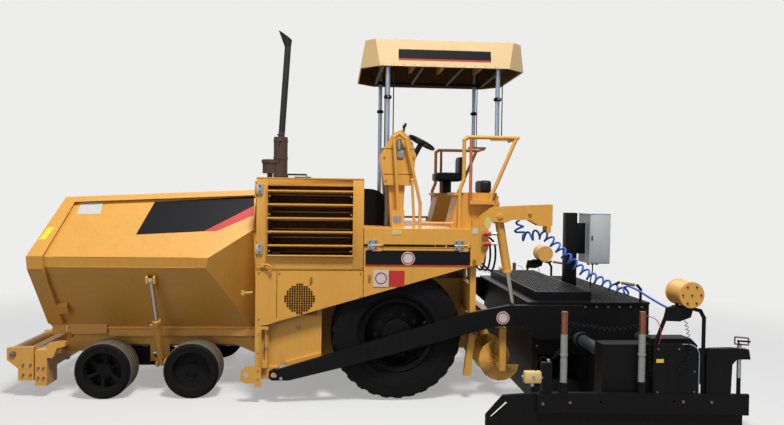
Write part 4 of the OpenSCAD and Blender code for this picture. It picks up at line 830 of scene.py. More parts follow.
def make_lamps():
    lamps = (
        # name, place, watts, size
        ("key_lamp", (0.8, -6.8, 13.0), 2150.0, 2.4),
        ("fill_lamp", (-8.0, -11.0, 4.0), 300.0, 6.0),
        ("rear_lamp", (3.0, 9.0, 7.0), 300.0, 6.0),
    )
    for name, place, watts, size in lamps:
        light = bpy.data.lights.new(name, "AREA")
        light.energy = watts
        light.size = size
        lamp = new_object(name, light)
        lamp.location = place
        aim = Vector((0, 0, 1.2)) - Vector(place)
        lamp.rotation_euler = aim.to_track_quat("-Z", "Y").to_euler()


def make_world(scene):
    """A soft bluish sky that lights the machine, behind a plain backdrop."""
    world = bpy.data.worlds.new("pale_studio")
    world.use_nodes = True
    tree = world.node_tree
    tree.nodes.clear()
    soft = add_node(tree, "ShaderNodeBackground", {"Color": linear("#E6EDF7"), "Strength": 0.30})
    white = add_node(tree, "ShaderNodeBackground", {"Color": linear(BACKDROP), "Strength": 1.0})
    shaders = {"Fac": (seen_ray(tree), "Value"), 1: (soft, "Background"), 2: (white, "Background")}
    shown = add_node(tree, "ShaderNodeMixShader", shaders)
    add_node(tree, "ShaderNodeOutputWorld", {"Surface": (shown, "Shader")})
    scene.world = world


def make_camera(scene):
    yaw, pitch, roll = CAMERA_YAW, CAMERA_PITCH, CAMERA_ROLL
    ahead = Vector((math.sin(yaw) * math.cos(pitch), math.cos(yaw) * math.cos(pitch), -math.sin(pitch)))
    level = Vector((math.cos(yaw), -math.sin(yaw), 0.0))
    right = math.cos(roll) * level - math.sin(roll) * ahead.cross(level)
    up = -ahead.cross(right)
    lens = bpy.data.cameras.new("photograph")
    lens.sensor_width = SENSOR_WIDTH
    lens.lens = FOCAL_PIXELS / IMAGE_WIDTH * SENSOR_WIDTH
    camera = new_object("photograph", lens)
    place = Matrix.Translation(MIDDLE.at(*CAMERA_PLACE))
    camera.matrix_world = place @ Matrix((right, up, -ahead)).transposed().to_4x4()
    scene.camera = camera


# Films and signs


def on_wing(side, x, z, lift):
    """A place on a wing's upper panel, lifted off it along its normal."""
    crease_y, crease_z = 1.265, 1.445
    lean_y, lean_z = 0.490, 0.675
    slant = math.hypot(lean_y, lean_z)
    y = crease_y - (z - crease_z) * lean_y / lean_z
    return side.at(x, y + lift * lean_z / slant, z + lift * lean_y / slant)


def on_canopy(side, x, z, lift):
    """A place on the canopy's leaning side."""
    foot_y, foot_z = 0.750, 3.458
    lean = 0.050 / 0.290
    return side.at(x, foot_y - (z - foot_z) * lean + lift, z)


def on_upright(y):
    """A function that gives places on an upright side at that distance from the centre line."""
    return lambda side, x, z, lift: side.at(x, y + lift, z)


def film(bm, surface, side, outline, low, high):
    """A flat film with the outline's (x, z) points, between two lifts off a surface."""
    loft(bm, [[surface(side, x, z, lift) for x, z in outline] for lift in (low, high)])


def oval(x, z, rx, rz):
    return [(x + rx * math.cos(t), z + rz * math.sin(t)) for t in turns(28)]


def rectangle(x0, z0, x1, z1):
    return [(x0, z0), (x1, z0), (x1, z1), (x0, z1)]


WING_BAND = [(-2.598, 1.658), (-2.475, 1.980), (-1.480, 2.050), (-1.472, 1.952), (-1.942, 1.696)]
WING_STRIPE = [(-1.942, 1.696), (-1.472, 1.952), (-1.464, 1.860), (-1.825, 1.697)]
WING_LABEL = [(-3.216, 1.847), (-3.203, 1.961), (-2.991, 1.971), (-2.984, 1.853)]
FRAME_LABEL = [(-3.495, 1.585), (-3.435, 1.700), (-3.375, 1.700), (-3.435, 1.585)]
DOOR = on_upright(PANEL_Y + 0.002)
# Thickness of the signs on the door, counted in films
SIGN_FILMS = 2.2
FILMS = (
    # name, film, surface, body, thickness in films, outlines
    ("wing_band", "black_film", on_wing, "wing", 1, [WING_BAND]),
    ("wing_stripe", "red_film", on_wing, "wing", 1, [WING_STRIPE]),
    ("wing_label", "white_film", on_wing, "wing", 1, [WING_LABEL]),
    ("door_band", "black_film", DOOR, "service_door", 1, [rectangle(-0.331, 1.388, 0.717, 1.531)]),
    ("door_line", "red_film", DOOR, "service_door", 1.2, [rectangle(-0.331, 1.374, 0.717, 1.386)]),
    ("door_signs", "red_film", DOOR, "service_door", 1.6, [rectangle(-0.095, 1.172, 0.062, 1.329)]),
    (
        "door_plates",
        "white_film",
        DOOR,
        "service_door",
        SIGN_FILMS,
        [oval(0.095, 1.452, 0.068, 0.068), rectangle(-0.250, 1.168, -0.098, 1.333)],
    ),
    ("deck_labels", "white_film", DOOR, "chassis", 1, [rectangle(0.742, 1.704, 0.795, 1.762)]),
    ("deck_plate", "pale_film", DOOR, "chassis", 1, [rectangle(-0.070, 1.689, 0.028, 1.738)]),
    ("arm_sign", "white_film", on_upright(ARM_Y), "screed", 1, [oval(1.063, 0.860, 0.066, 0.066)]),
    ("gooseneck_label", "pale_film", on_upright(1.258), "chassis", 1, [oval(0.897, 1.815, 0.034, 0.060)]),
    ("canopy_band", "black_film", on_canopy, "chassis", 1, [rectangle(0.016, 3.542, 1.014, 3.642)]),
    ("canopy_line", "red_film", on_canopy, "chassis", 1.3, [rectangle(0.016, 3.524, 1.014, 3.540)]),
)


class PAVER_OT_films(bpy.types.Operator):
    """Sticks the plain bands, stripes and blank signs where the photograph shows them"""

    bl_idname = "paver.films"
    bl_label = "Films and signs"

    def execute(self, context):
        for side in SIDES:
            stick_films(side, context.scene.paver_sizes.film)
        return {"FINISHED"}


def stick_films(side, thickness):
    sunk = -0.0005
    for name, finish, surface, body, films, outlines in FILMS:
        rows = [(film, surface, side, outline, sunk, thickness * films) for outline in outlines]
        build(side, name, finish, body, rows)
    # The plain red rings of the round signs
    sign_y = PANEL_Y + 0.002 + SIGN_FILMS * thickness
    rings = (
        ("door_ring", (-0.174, sign_y, 1.252), 0.060, "service_door"),
        ("band_ring", (0.095, sign_y, 1.452), 0.060, "service_door"),
        ("arm_ring", (1.063, ARM_Y + thickness, 0.860), 0.058, "screed"),
    )
    for name, centre, radius, body in rings:
        profile = band(radius - 0.012, radius, -0.001, 0.001)
        build(side, name, "red_film", body, [(turned, profile, centre, MIDDLE.out, 28)])
    # The yellow label on the frame round the wing's front edge, which stands proud of the panel
    proud = 0.035
    label = (film, on_wing, side, FRAME_LABEL, proud - 0.001, proud + thickness)
    build(side, "wing_frame_label", "yellow_film", "wing", [label])


# Engine house and side panels


class PAVER_OT_engine_side(bpy.types.Operator):
    """Adds the louvred doors, the cooler's screen, the hinges, the seams and the screws of the side panels"""

    bl_idname = "paver.engine_side"
    bl_label = "Engine house trim"

    def execute(self, context):
        for side in SIDES:
            make_louvres(side)
            make_screen(side)
            make_hinges(side)
            make_latches(side)
            make_screws(side)
            make_seams(side)
        make_hood_trim()
        return {"FINISHED"}


def make_louvres(side):
    """The louvred door: folded sheet with thin blades that show a bright lip over a shaded face."""
    sheet, flange, proud = 0.012, 0.030, 0.044
    door = (-1.406, -0.354, 1.342, 2.224)
    opening = (-1.294, -0.460, 1.480, 2.160)
    x0, x1, z0, _ = opening
    rows = framed(door, opening, PANEL_Y - sheet, PANEL_Y)
    rows += framed(door, grown(door, -0.020), PANEL_Y - flange, PANEL_Y - sheet)
    rows += framed(grown(opening, 0.010), opening, PANEL_Y - 0.001, PANEL_Y + proud)
    # A blade's outline as (outward, up)
    lip = [(0.042, -0.004), (0.042, 0.012), (0.034, 0.012)]
    blade = lip + [(-0.040, -0.014), (-0.040, -0.020), (0.034, -0.004)]
    for i in range(5):
        z = z0 + 0.092 + 0.134 * i
        rows.append((loft, [[(x, PANEL_Y + y, z + up) for y, up in blade] for x in (x0 - 0.001, x1 + 0.001)]))
    # Hinge knuckles with their leaves
    for z in (1.490, 2.080):
        rows.append((rod, (-1.412, 1.260, z), (-1.412, 1.260, z + 0.090), 0.013, 14))
        rows.append((block, (-1.408, 1.249, z), (-1.346, 1.264, z + 0.090)))
    piece = build(side, "louvre_leaf", "yellow_paint", "louvre_door", rows, bevel=0.0015)
    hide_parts(side.body("louvre_door"))


def make_screen(side):
    """Cooler fins behind the louvres with wire rods in front of them, back plates of painted shade, and dark
    squares of painted shade over the round grille's holes.
    """
    # Painted shade: back plates behind the louvres and the round grille, in darkened yellow enamel
    rows = [
        (block, (-1.285, 1.026, 1.485), (-0.468, 1.034, 2.158)),
        (block, (-1.150, 1.218, 0.880), (-0.805, 1.226, 1.215)),
    ]
    build(side, "screen_backs", "louvre_shade", "chassis", rows)
    fins = [(-1.262 + 0.022 * i, 1.060, 1.815) for i in range(36)]
    bars(side, "cooler_fins", "cooler_fin", "chassis", fins, (0.004, 0.040, 0.620))
    rods = [(-0.877, 1.088, 1.560 + 0.085 * i) for i in range(7)]
    bars(side, "screen_rods", "bare_steel", "chassis", rods, (0.800, 0.006, 0.006))
    # Painted shade: dark squares over each square hole of the round grille
    centre_x, hole_shade_y, centre_z = -0.977, PANEL_Y + 0.0046, 1.047
    pitch, reach, half = 0.0235, 0.1475, 6
    holes = [
        (centre_x + pitch * i, hole_shade_y, centre_z + pitch * k)
        for i in range(-half, half + 1)
        for k in range(-half, half + 1)
        if math.hypot(i, k) * pitch < reach
    ]
    bars(side, "grille_hole_shade", "void_black", "chassis", holes, (0.0172, 0.0012, 0.0172))


def make_hinges(side):
    """Two-leaf hinges with their knuckles and screws."""
    louvre = [(block, (-1.404, 1.260, z - 0.048), (-1.344, 1.268, z + 0.048)) for z in LOUVRE_HINGE_ZS]
    swinging, fixed = [], []
    for x in DOOR_HINGE_XS:
        swinging.append((block, (x - 0.050, 1.254, 1.540), (x + 0.050, 1.266, 1.571)))
        fixed.append((block, (x - 0.050, 1.254, 1.593), (x + 0.050, 1.266, 1.636)))
        fixed.append((rod, (x - 0.052, 1.262, 1.582), (x + 0.052, 1.262, 1.582), 0.0075, 12))
    shifts = (-0.03, 0.03)
    louvre_heads = [(-1.374, 1.270, z + d) for z in LOUVRE_HINGE_ZS for d in shifts]
    door_heads = [(x + d, 1.267, 1.555) for x in DOOR_HINGE_XS for d in shifts]
    deck_heads = [(x + d, 1.267, 1.616) for x in DOOR_HINGE_XS for d in shifts]
    hinges = (
        ("louvre_hinge", "louvre_door", louvre, louvre_heads),
        ("door_hinge", "service_door", swinging, door_heads),
        ("deck_hinge", "chassis", fixed, deck_heads),
    )
    for name, body, leaves, heads in hinges:
        build(side, name, "zinc", body, leaves, bevel=0.0015)
        studs(side, f"{name}_screws", "black_paint", body, heads, (0.009, 0.007, 0.008))


def make_latches(side):
    """Hook and eye under the louvred door, and the small latches of the panels."""
    hook = [(-1.335, 1.258, 1.372), (-1.300, 1.285, 1.385), (-1.262, 1.290, 1.372), (-1.248, 1.285, 1.338)]
    hook.append((-1.270, 1.275, 1.318))
    # The eye stands out ahead of the column, beside the wing's rear edge
    eye = [(-1.440, 1.235, 1.105), (-1.500, 1.240, 1.100), (-1.535, 1.240, 1.100)]
    rows = [
        (swept, smooth_route(side.placed(hook), 4), 0.010, 8),
        (rod, (-1.338, 1.245, 1.372), (-1.338, 1.272, 1.372), 0.018, 10),
        (swept, smooth_route(side.placed(eye), 4), 0.012, 8),
        (rod, (-1.532, 1.240, 1.080), (-1.532, 1.240, 1.122), 0.020, 10),
    ]
    build(side, "hooks", "yellow_paint", "chassis", rows)
    rows = []
    for x, z in ((-0.866, 1.232), (-0.288, 1.256)):
        rows.append((block, (x - 0.012, PANEL_Y, z - 0.028), (x + 0.012, 1.264, z + 0.028)))
        rows.append((rod, (x, 1.262, z), (x, 1.272, z), 0.009, 10))
    rows.append((rod, (0.765, PANEL_Y, 1.432), (0.765, 1.270, 1.432), 0.016, 12))
    build(side, "latches", "brass", "chassis", rows, bevel=0.001)


def make_screws(side):
    """Screws of the side panels, rivets round the louvres and bolts of the tow-point column."""
    spots = [(-1.176, 1.296), (-0.375, 1.301), (-1.176, 0.823), (-0.375, 1.060)]
    spots += [(-1.376, 1.300), (-1.376, 0.840)]
    heads = [(x, 1.253, z) for x, z in spots]
    studs(side, "panel_screws", "bare_steel", "chassis", heads, (0.008, 0.006, 0.006), 10)
    rim = [(x, 1.296, z) for x in (-1.276, -0.478) for z in (1.520, 1.700, 1.880, 2.060)]
    studs(side, "louvre_rivets", "yellow_paint", "louvre_door", rim, (0.008, 0.005, 0.005), 8)
    column = [(-1.379, 1.252, z) for z in (0.260, 0.340, 0.520, 0.700)]
    studs(side, "column_bolts", "yellow_paint", "chassis", column, (0.009, 0.008, 0.008))


def make_seams(side):
    """Dark joints between the panels, and the small steel parts of the side box."""
    seams = (
        # x0, z0, x1, z1: beside the column, under the louvres, then round the grille and the service door
        (-1.204, 0.850, -1.199, 1.330),
        (-1.199, 1.326, -0.350, 1.331),
        (-0.352, 1.070, -0.347, 1.330),
        (-1.410, 1.326, -1.204, 1.330),
        (-0.345, 1.556, 0.720, 1.560),
        (0.720, 1.390, 0.724, 1.590),
    )
    half = 0.0015
    rows = [(block, (x0, PANEL_Y - half, z0), (x1, PANEL_Y + half, z1)) for x0, z0, x1, z1 in seams]
    build(side, "panel_seams", "void_black", "chassis", rows)
    # Fastener of the hatch on the side box, and the pipe beside the column
    rows = [
        (rod, (-0.992, 1.150, 0.742), (-0.992, 1.158, 0.742), 0.020, 12),
        (rod, (-1.318, 1.120, 0.420), (-1.318, 1.120, 0.860), 0.012, 10),
    ]
    build(side, "side_box_trim", "bare_steel", "chassis", rows)


def make_hood_trim():
    """Handles and pressed ribs of the bonnet."""
    rows = []
    for y in (-0.60, 0.60):
        grip = [(-1.150, y, 2.236), (-1.150, y, 2.290), (-0.950, y, 2.290), (-0.950, y, 2.236)]
        rows.append((swept, grip, 0.010, 8))
    build(MIDDLE, "hood_grips", "black_paint", "chassis", rows)
    ribs = [(-1.340 + 0.090 * i, 0.0, 2.243) for i in range(11)]
    bars(MIDDLE, "hood_ribs", "yellow_paint", "chassis", ribs, (0.020, 0.520, 0.012))


# Wheels


class PAVER_OT_wheels(bpy.types.Operator):
    """Adds nuts, bolts, sidewall rings and tread bands to the wheels"""

    bl_idname = "paver.wheels"
    bl_label = "Wheel trim"

    def execute(self, context):
        for side in SIDES:
            for number, x in FRONT_WHEELS:
                dress_front(side, number, x)
            dress_drive(side)
        return {"FINISHED"}


def dress_front(side, number, x):
    """Tread, sidewall and hub of a small front wheel."""
    body = f"front_wheel_{number}"
    centre = (x, 0.900, FRONT_Z)
    # Raised bands round the solid tyre's tread, and the rings on its sidewall
    rows = []
    for s in (-0.118, -0.070, -0.022, 0.026, 0.074, 0.118):
        profile = [(0.275, s - 0.017), (0.2815, s - 0.014), (0.2815, s + 0.014), (0.275, s + 0.017)]
        rows.append((turned, profile, centre, side.out, 72))
    build(side, f"tread_bands_{number}", "tread_rubber", body, rows)
    rows = []
    for radius in (0.222, 0.243):
        profile = [(radius, 0.148), (radius + 0.005, 0.155), (radius + 0.010, 0.148)]
        rows.append((turned, profile, centre, side.out, 64))
    build(side, f"sidewall_rings_{number}", "tyre", body, rows)
    if number == 1:
        # The inner drum behind the open disc
        build(side, "hub_drum", "black_paint", body, [(disc, centre, side.out, 0.196, 0.010, 40)])
    nuts = ring_places(side.at(x, 1.016, FRONT_Z), side.out, 0.042, 6)
    studs(side, f"hub_nuts_{number}", "black_paint", body, nuts, (0.008, 0.007, 0.012))


def dress_drive(side):
    """Nuts, bolts, sidewall and valve of a large drive wheel."""
    body = "drive_wheel"
    # The recessed disc stands behind the rim's lip; its nuts sit round the boss
    nuts = ring_places(side.at(0, 1.100, DRIVE_Z), side.out, 0.215, 10)
    studs(side, "drive_nuts", "black_paint", body, nuts, (0.021, 0.019, 0.050))
    caps = ring_places(side.at(0, 1.131, DRIVE_Z), side.out, 0.110, 8)
    studs(side, "boss_bolts", "black_paint", body, caps, (0.010, 0.009, 0.012))
    rows = []
    for radius, proud in ((0.398, 0.168), (0.470, 0.172), (0.560, 0.168)):
        profile = [(radius, proud - 0.008), (radius + 0.007, proud + 0.004), (radius + 0.014, proud - 0.008)]
        rows.append((turned, profile, (0, 1.010, DRIVE_Z), side.out, 96))
    build(side, "drive_sidewall", "tyre", body, rows)
    build(side, "valve", "brass", body, [(rod, (0.30, 1.120, 0.800), (0.275, 1.160, 0.790), 0.008, 8)])


# Hopper and push beam


class PAVER_OT_hopper_trim(bpy.types.Operator):
    """Adds the wing cylinders' ports, the push beam's bolts and the wings' welds"""

    bl_idname = "paver.hopper_trim"
    bl_label = "Hopper trim"

    def execute(self, context):
        for side in SIDES:
            dress_cylinder(side)
            dress_beam(side)
            # Weld beads along the folds
            folds = ((-3.330, -2.010, 1.262, 1.447), (-3.300, -2.000, 1.243, 1.347))
            beads = [(rod, (x0, y, z), (x1, y, z), 0.005, 8) for x0, x1, y, z in folds]
            build(side, "wing_welds", "yellow_paint", "wing", beads)
        return {"FINISHED"}


def dress_cylinder(side):
    """Ports of the wing cylinder's barrel, the upper one with a red cap."""
    foot, eye = side.at(-2.430, 0.740, 0.300), side.at(-2.430, 1.195, 1.215)
    up, across = (eye - foot).normalized(), Vector((1, 0, 0))
    ports = [foot + up * reach for reach in (0.130, 0.485)]
    rows = [(rod, port - across * 0.030, port - across * 0.068, 0.016, 12) for port in ports]
    build(side, "wing_ports", "zinc", "wing_barrel", rows)
    cap = (rod, ports[1] - across * 0.066, ports[1] - across * 0.092, 0.020, 12)
    build(side, "wing_port_cap", "red_plastic", "wing_barrel", [cap])


def dress_beam(side):
    """Bolts of the roller plates and of the blocks behind them, and the roller's pin."""
    heads = [(x, 0.952, z) for x in (-3.740, -3.670) for z in (0.230, 0.330)]
    heads += [(x, 0.962, z) for x in (-3.590, -3.540) for z in (0.200, 0.300)]
    studs(side, "beam_bolts", "bare_steel", "chassis", heads, (0.013, 0.012, 0.011))
    rows = [
        (rod, (-3.840, 0.948, 0.440), (-3.840, 0.966, 0.440), 0.030, 20),
        (rod, (-3.840, 0.964, 0.440), (-3.840, 0.972, 0.440), 0.012, 12),
    ]
    build(side, "roller_end", "bare_steel", "chassis", rows, bevel=0.002)


# Tow arms


class PAVER_OT_arm_trim(bpy.types.Operator):
    """Adds the tow arms' bolts, and the height marks and lock nuts of their columns"""

    bl_idname = "paver.arm_trim"
    bl_label = "Tow arm trim"

    def execute(self, context):
        for side in SIDES:
            bolts = [(-1.205, 1.280, 0.290), (-1.150, 1.280, 0.262)]
            studs(side, "pin_bolts", "zinc", "screed", bolts, (0.019, 0.017, 0.016))
            joints = ((-0.300, 0.552), (-0.290, 0.512), (0.760, 0.748), (0.770, 0.700))
            heads = [(x, ARM_Y + 0.002, z) for x, z in joints]
            studs(side, "arm_bolts", "black_paint", "screed", heads, (0.012, 0.011, 0.009))
            marks = [(-1.364, PANEL_Y + 0.0015, 0.380 + 0.025 * i) for i in range(14)]
            bars(side, "height_marks", "black_film", "chassis", marks, (0.014, 0.002, 0.003))
            # Lock nuts on the rod that holds the tow point
            nuts = []
            for z in (0.380, 0.560, 0.740):
                nuts.append((rod, (-1.305, 1.210, z - 0.012), (-1.305, 1.210, z + 0.012), 0.023, 6))
            build(side, "tow_nuts", "zinc", "chassis", nuts)
        return {"FINISHED"}


# Operator's station and canopy


def cushion(bm, low, high, crown, steps=8):
    """A stuffed pad between two corners, rounded at its edges and fuller in its middle."""
    middle, half = (low + high) / 2, (high - low) / 2
    rings = []
    for k in range(steps + 1):
        rise = -1 + 2 * k / steps
        squeeze = 0.82 + 0.18 * max(0.0, 1 - rise ** 4) ** 0.25
        ring = []
        for t in turns(32):
            # A rounded rectangle as a superellipse
            x, y = (math.copysign(abs(c) ** 0.35, c) for c in (math.cos(t), math.sin(t)))
            ring.append(middle + Vector((half.x * x * squeeze, half.y * y * squeeze, half.z * rise)))
        rings.append(ring)
    loft(bm, rings)
    # The middle of the top is raised by the crown
    bmesh.ops.poke(bm, faces=[face for face in bm.faces if len(face.verts) > 8])
    top = middle + Vector((0, 0, half.z))
    for vert in bm.verts:
        away = (Vector((vert.co.x, vert.co.y, top.z)) - top).length
        if abs(vert.co.z - top.z) < 1e-4 and away < 1e-3:
            vert.co.z += crown


class PAVER_OT_station(bpy.types.Operator):
    """Dresses the console, the seats, the tube frames and the deck"""

    bl_idname = "paver.station"
    bl_label = "Operator's station"

    def execute(self, context):
        make_steering_wheel()
        dress_console()
        make_seats()
        for side in SIDES:
            dress_frames(side)
        treads = [(0.05 + 0.045 * i, 0.0, 1.752) for i in range(15)]
        bars(MIDDLE, "deck_ribs", "black_paint", "chassis", treads, (0.012, 1.05, 0.004))
        return {"FINISHED"}


def make_steering_wheel():
    """The black rim with three spokes, a hub and its column."""
    hub, rim_radius, grip = MIDDLE.at(0.262, -0.850, 2.640), 0.140, 0.0165
    tilt = math.radians(28)
    axis = Vector((math.sin(tilt), 0, math.cos(tilt)))
    rim = [(rim_radius + grip * math.cos(t), grip * math.sin(t)) for t in turns(10)]
    rows = [(turned, rim, hub, axis, 48)]
    rows += [(rod, hub, spot, 0.012, 8, 0.009) for spot in ring_places(hub, axis, rim_radius, 3, 0.3)]
    rows.append((disc, hub - axis * 0.020, axis, 0.050, 0.042, 24))
    rows.append((rod, (0.170, -0.850, 2.470), hub, 0.028, 16))
    build(MIDDLE, "steering_wheel", "black_plastic", "chassis", rows)


def dress_console():
    """Dials, levers, a filter, seams and screws of the console on the left."""
    # Dial panel on the face toward the seat, between two corners of the console's outline
    foot, head = MIDDLE.at(0.183, 0, 2.520), MIDDLE.at(0.117, 0, 2.676)
    along, out = (head - foot).normalized(), Vector((0.92, 0, 0.39))
    corners = [(foot, -0.980), (foot, -0.760), (head, -0.760), (head, -0.980)]
    rings = [[p + Vector((0, y, 0)) + out * lift for p, y in corners] for lift in (0.001, 0.007)]
    build(MIDDLE, "dial_panel", "black_film", "chassis", [(loft, rings)], bevel=0.002)
    dials = []
    for y in (-0.94, -0.87, -0.80):
        dials += [foot + along * reach + Vector((0, y, 0)) + out * 0.008 for reach in (0.050, 0.115)]
    studs(MIDDLE, "dials", "zinc", "chassis", dials, (0.024, 0.021, 0.010), 20, out)
    levers = []
    for y in (-0.960, -0.780):
        levers.append((rod, (0.060, y, 2.710), (0.075, y, 2.800), 0.006, 8))
        levers.append((rod, (0.075, y, 2.795), (0.079, y, 2.830), 0.014, 10, 0.011))
    build(MIDDLE, "console_levers", "black_plastic", "chassis", levers)
    rows = [
        (rod, (0.010, -1.018, 2.550), (0.010, -1.018, 2.650), 0.022, 16),
        (rod, (0.010, -1.018, 2.645), (0.010, -1.018, 2.662), 0.026, 16),
        (block, (-0.016, -1.016, 2.470), (0.060, -0.998, 2.545)),
    ]
    build(MIDDLE, "console_filter", "zinc", "chassis", rows, bevel=0.003)
    seams = ((-0.150, 2.296, 0.165, 2.301), (-0.030, 2.300, -0.025, 2.560), (-0.140, 2.558, 0.150, 2.563))
    rows = [(block, (x0, -1.0015, z0), (x1, -0.9985, z1)) for x0, z0, x1, z1 in seams]
    build(MIDDLE, "console_seams", "void_black", "chassis", rows)
    spots = ((-0.120, 2.230), (0.130, 2.230), (-0.140, 2.470), (0.165, 2.470), (0.030, 2.720))
    heads = [(x, -1.001, z) for x, z in spots]
    studs(MIDDLE, "console_screws", "bare_steel", "chassis", heads, (0.009, 0.007, 0.007), facing=LEFT.out)


def make_seats():
    """Vinyl cushions over the folded and the standing seat."""
    rows = [
        (cushion, (0.880, -0.960, 2.121), (1.000, -0.600, 2.250), 0.006),
        (cushion, (0.610, 0.580, 2.270), (0.960, 0.960, 2.380), 0.012),
        (cushion, (0.915, 0.600, 2.300), (1.005, 0.940, 2.580), 0.006),
    ]
    seats = build(MIDDLE, "seat_cushions", "seat_cover", "chassis", rows, smooth=60)
    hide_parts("seats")
    rows = [(rod, (0.785, 0.770, 2.118), (0.785, 0.770, 2.272), 0.060, 24)]
    for y in (0.585, 0.955):
        rail = [(0.640, y, 2.285), (0.930, y, 2.285), (0.985, y, 2.330), (0.985, y, 2.560)]
        rows.append((swept, smooth_route(MIDDLE.placed(rail), 5), 0.012, 8))
    build(MIDDLE, "seat_legs", "black_paint", "chassis", rows)


def dress_frames(side):
    """Pale plugs and a red-lead post on the tube frames, and the stays and pins of the canopy's posts."""
    rows = [
        (disc, (-0.005, 1.070, 1.836), side.out, 0.044, 0.006, 28),
        (disc, (-0.005, 1.075, 1.836), side.out, 0.016, 0.008, 16),
    ]
    build(side, "plate_plug", "zinc", "chassis", rows)
    post = (rod, (0.752, 1.060, 2.022), (0.752, 1.060, 2.672), 0.0175, 16, 0.0165)
    build(side, "primed_post", "red_lead", "chassis", [post])
    feet = ((-0.030, 2.700), (1.150, 2.715))
    stays = [(rod, (x, 0.700, z), (x, 0.700, 3.470), 0.006, 8) for x, z in feet]
    build(side, "canopy_stays", "black_paint", "chassis", stays)
    pins = [(x, 0.702, COLLAR_Z) for x in POST_XS]
    studs(side, "post_pins", "zinc", "chassis", pins, (0.012, 0.010, 0.040), 12)


class PAVER_OT_canopy(bpy.types.Operator):
    """Adds the canopy's frame, its lining of painted shade, its rivets and the collars of its posts"""

    bl_idname = "paver.canopy"
    bl_label = "Canopy"

    def execute(self, context):
        tube_z, half_width = 3.486, 0.640
        corners = [(x, y, tube_z) for x, y in rectangle(-0.150, -half_width, 1.190, half_width)]
        rows = [(rod, a, b, 0.018, 10) for a, b in zip(corners, corners[1:] + corners[:1])]
        rows += [(rod, (x, -half_width, tube_z), (x, half_width, tube_z), 0.014, 8) for x in (0.300, 0.740)]
        build(MIDDLE, "canopy_tubes", "black_paint", "chassis", rows)
        # A thin lining under the roof and inside its walls, dark brown as painted shade
        lean = 0.048
        rings = [(0.019, lean, 3.711), (0.019, 0, 3.462), (0.016, 0, 3.462), (0.016, lean, 3.714)]
        lining = (loft, [canopy_ring(*ring) for ring in rings])
        build(MIDDLE, "canopy_shade_lining", "canopy_shade_lining", "chassis", [lining])
        profile = [(0.0255, -0.022), (0.042, -0.012), (0.042, 0.012), (0.0255, 0.022)]
        rows = [(turned, profile, side.at(x, 0.675, COLLAR_Z), UP, 24) for x in POST_XS for side in SIDES]
        build(MIDDLE, "post_collars", "black_paint", "chassis", rows)
        for side in SIDES:
            edge = [on_canopy(side, -0.150 + 0.110 * i, 3.478, 0.001) for i in range(12)]
            studs(side, "canopy_rivets", "cream_paint", "chassis", edge, (0.008, 0.005, 0.005), 8)
        return {"FINISHED"}


def canopy_ring(inset, inward, z):
    """The roof's outline with its cut corners, drawn in by an inset and by the lean of the walls."""
    cut = 0.205
    x0, x1, y1 = -0.385 + inset, 1.420 - inset, 0.750 - inset
    along = (x0 + inward, x0 + cut - inward, x1 - cut + inward, x1 - inward)
    wide, narrow = y1 - inward, y1 - cut + inward
    corners = [(along[0], -narrow), (along[1], -wide), (along[2], -wide), (along[3], -narrow)]
    return [(x, y, z) for x, y in corners + [(x, -y) for x, y in reversed(corners)]]


# Exhaust and intake


class PAVER_OT_exhaust(bpy.types.Operator):
    """Adds clamps and bands to the muffler and the stack, and a band to the air intake"""

    bl_idname = "paver.exhaust"
    bl_label = "Exhaust and intake"

    def execute(self, context):
        band_zs = (2.300, 2.510, 2.715)
        rows = []
        for z in band_zs:
            rows.append((turned, band(0.0815, 0.0865, -0.014, 0.014), (STACK_X, STACK_Y, z), UP, 40))
            rows.append((block, (STACK_X - 0.012, 0.205, z - 0.014), (STACK_X + 0.012, 0.217, z + 0.014)))
        rows.append((turned, band(0.037, 0.044, -0.010, 0.010), (STACK_X, STACK_Y, 2.790), UP, 32))
        build(MIDDLE, "muffler_bands", "burnt_steel", "chassis", rows)
        bolts = [(STACK_X, 0.204, z) for z in band_zs]
        studs(MIDDLE, "band_bolts", "bare_steel", "chassis", bolts, (0.009, 0.008, 0.030), facing=LEFT.out)
        profile = [(0.079, -0.020), (0.088, -0.020), (0.092, 0.0), (0.088, 0.020), (0.079, 0.020)]
        intake = (turned, profile, (-1.350, -0.500, 2.430), UP, 36)
        build(MIDDLE, "intake_band", "burnt_steel", "chassis", [intake])
        return {"FINISHED"}


# Lift cylinders


class PAVER_OT_lift_trim(bpy.types.Operator):
    """Adds couplings, pins and hoses to the lift brackets and cylinders"""

    bl_idname = "paver.lift_trim"
    bl_label = "Lift trim"

    def execute(self, context):
        for side in SIDES:
            dress_lift(side)
            lay_hoses(side)
        return {"FINISHED"}


def dress_lift(side):
    """Hose couplings under the lift bracket, its pins, and the gland of the lift cylinder."""
    y = 1.286
    couplings, necks = [], []
    for z in (1.709, 1.608):
        couplings.append((rod, (0.850, y, z), (0.925, y, z), 0.024, 14))
        necks.append((rod, (0.925, y, z), (0.985, y, z), 0.017, 6))
        necks.append((rod, (0.830, y, z), (0.850, y, z), 0.015, 12))
        necks.append((block, (0.870, 1.256, z - 0.012), (0.900, 1.272, z + 0.012)))
    build(side, "couplings", "red_plastic", "chassis", couplings)
    build(side, "coupling_necks", "zinc", "chassis", necks)
    rows = [
        (disc, (1.020, 1.257, 1.885), side.out, 0.030, 0.012, 20),
        (disc, (1.325, 1.257, 1.921), side.out, 0.016, 0.020, 14),
    ]
    build(side, "lift_pin", "yellow_paint", "chassis", rows, bevel=0.002)
    # The gland's collar on the barrel, and the port above it
    top, eye = side.at(1.020, 1.180, 1.885), side.at(1.190, 1.180, 0.935)
    down, across = (eye - top).normalized(), Vector((1, 0, 0))
    port = top + down * 0.540
    rows = [
        (rod, top + down * 0.560, top + down * 0.590, 0.049, 28),
        (rod, port - across * 0.040, port - across * 0.078, 0.017, 12),
    ]
    build(side, "lift_gland", "yellow_paint", "lift_barrel", rows, bevel=0.002)


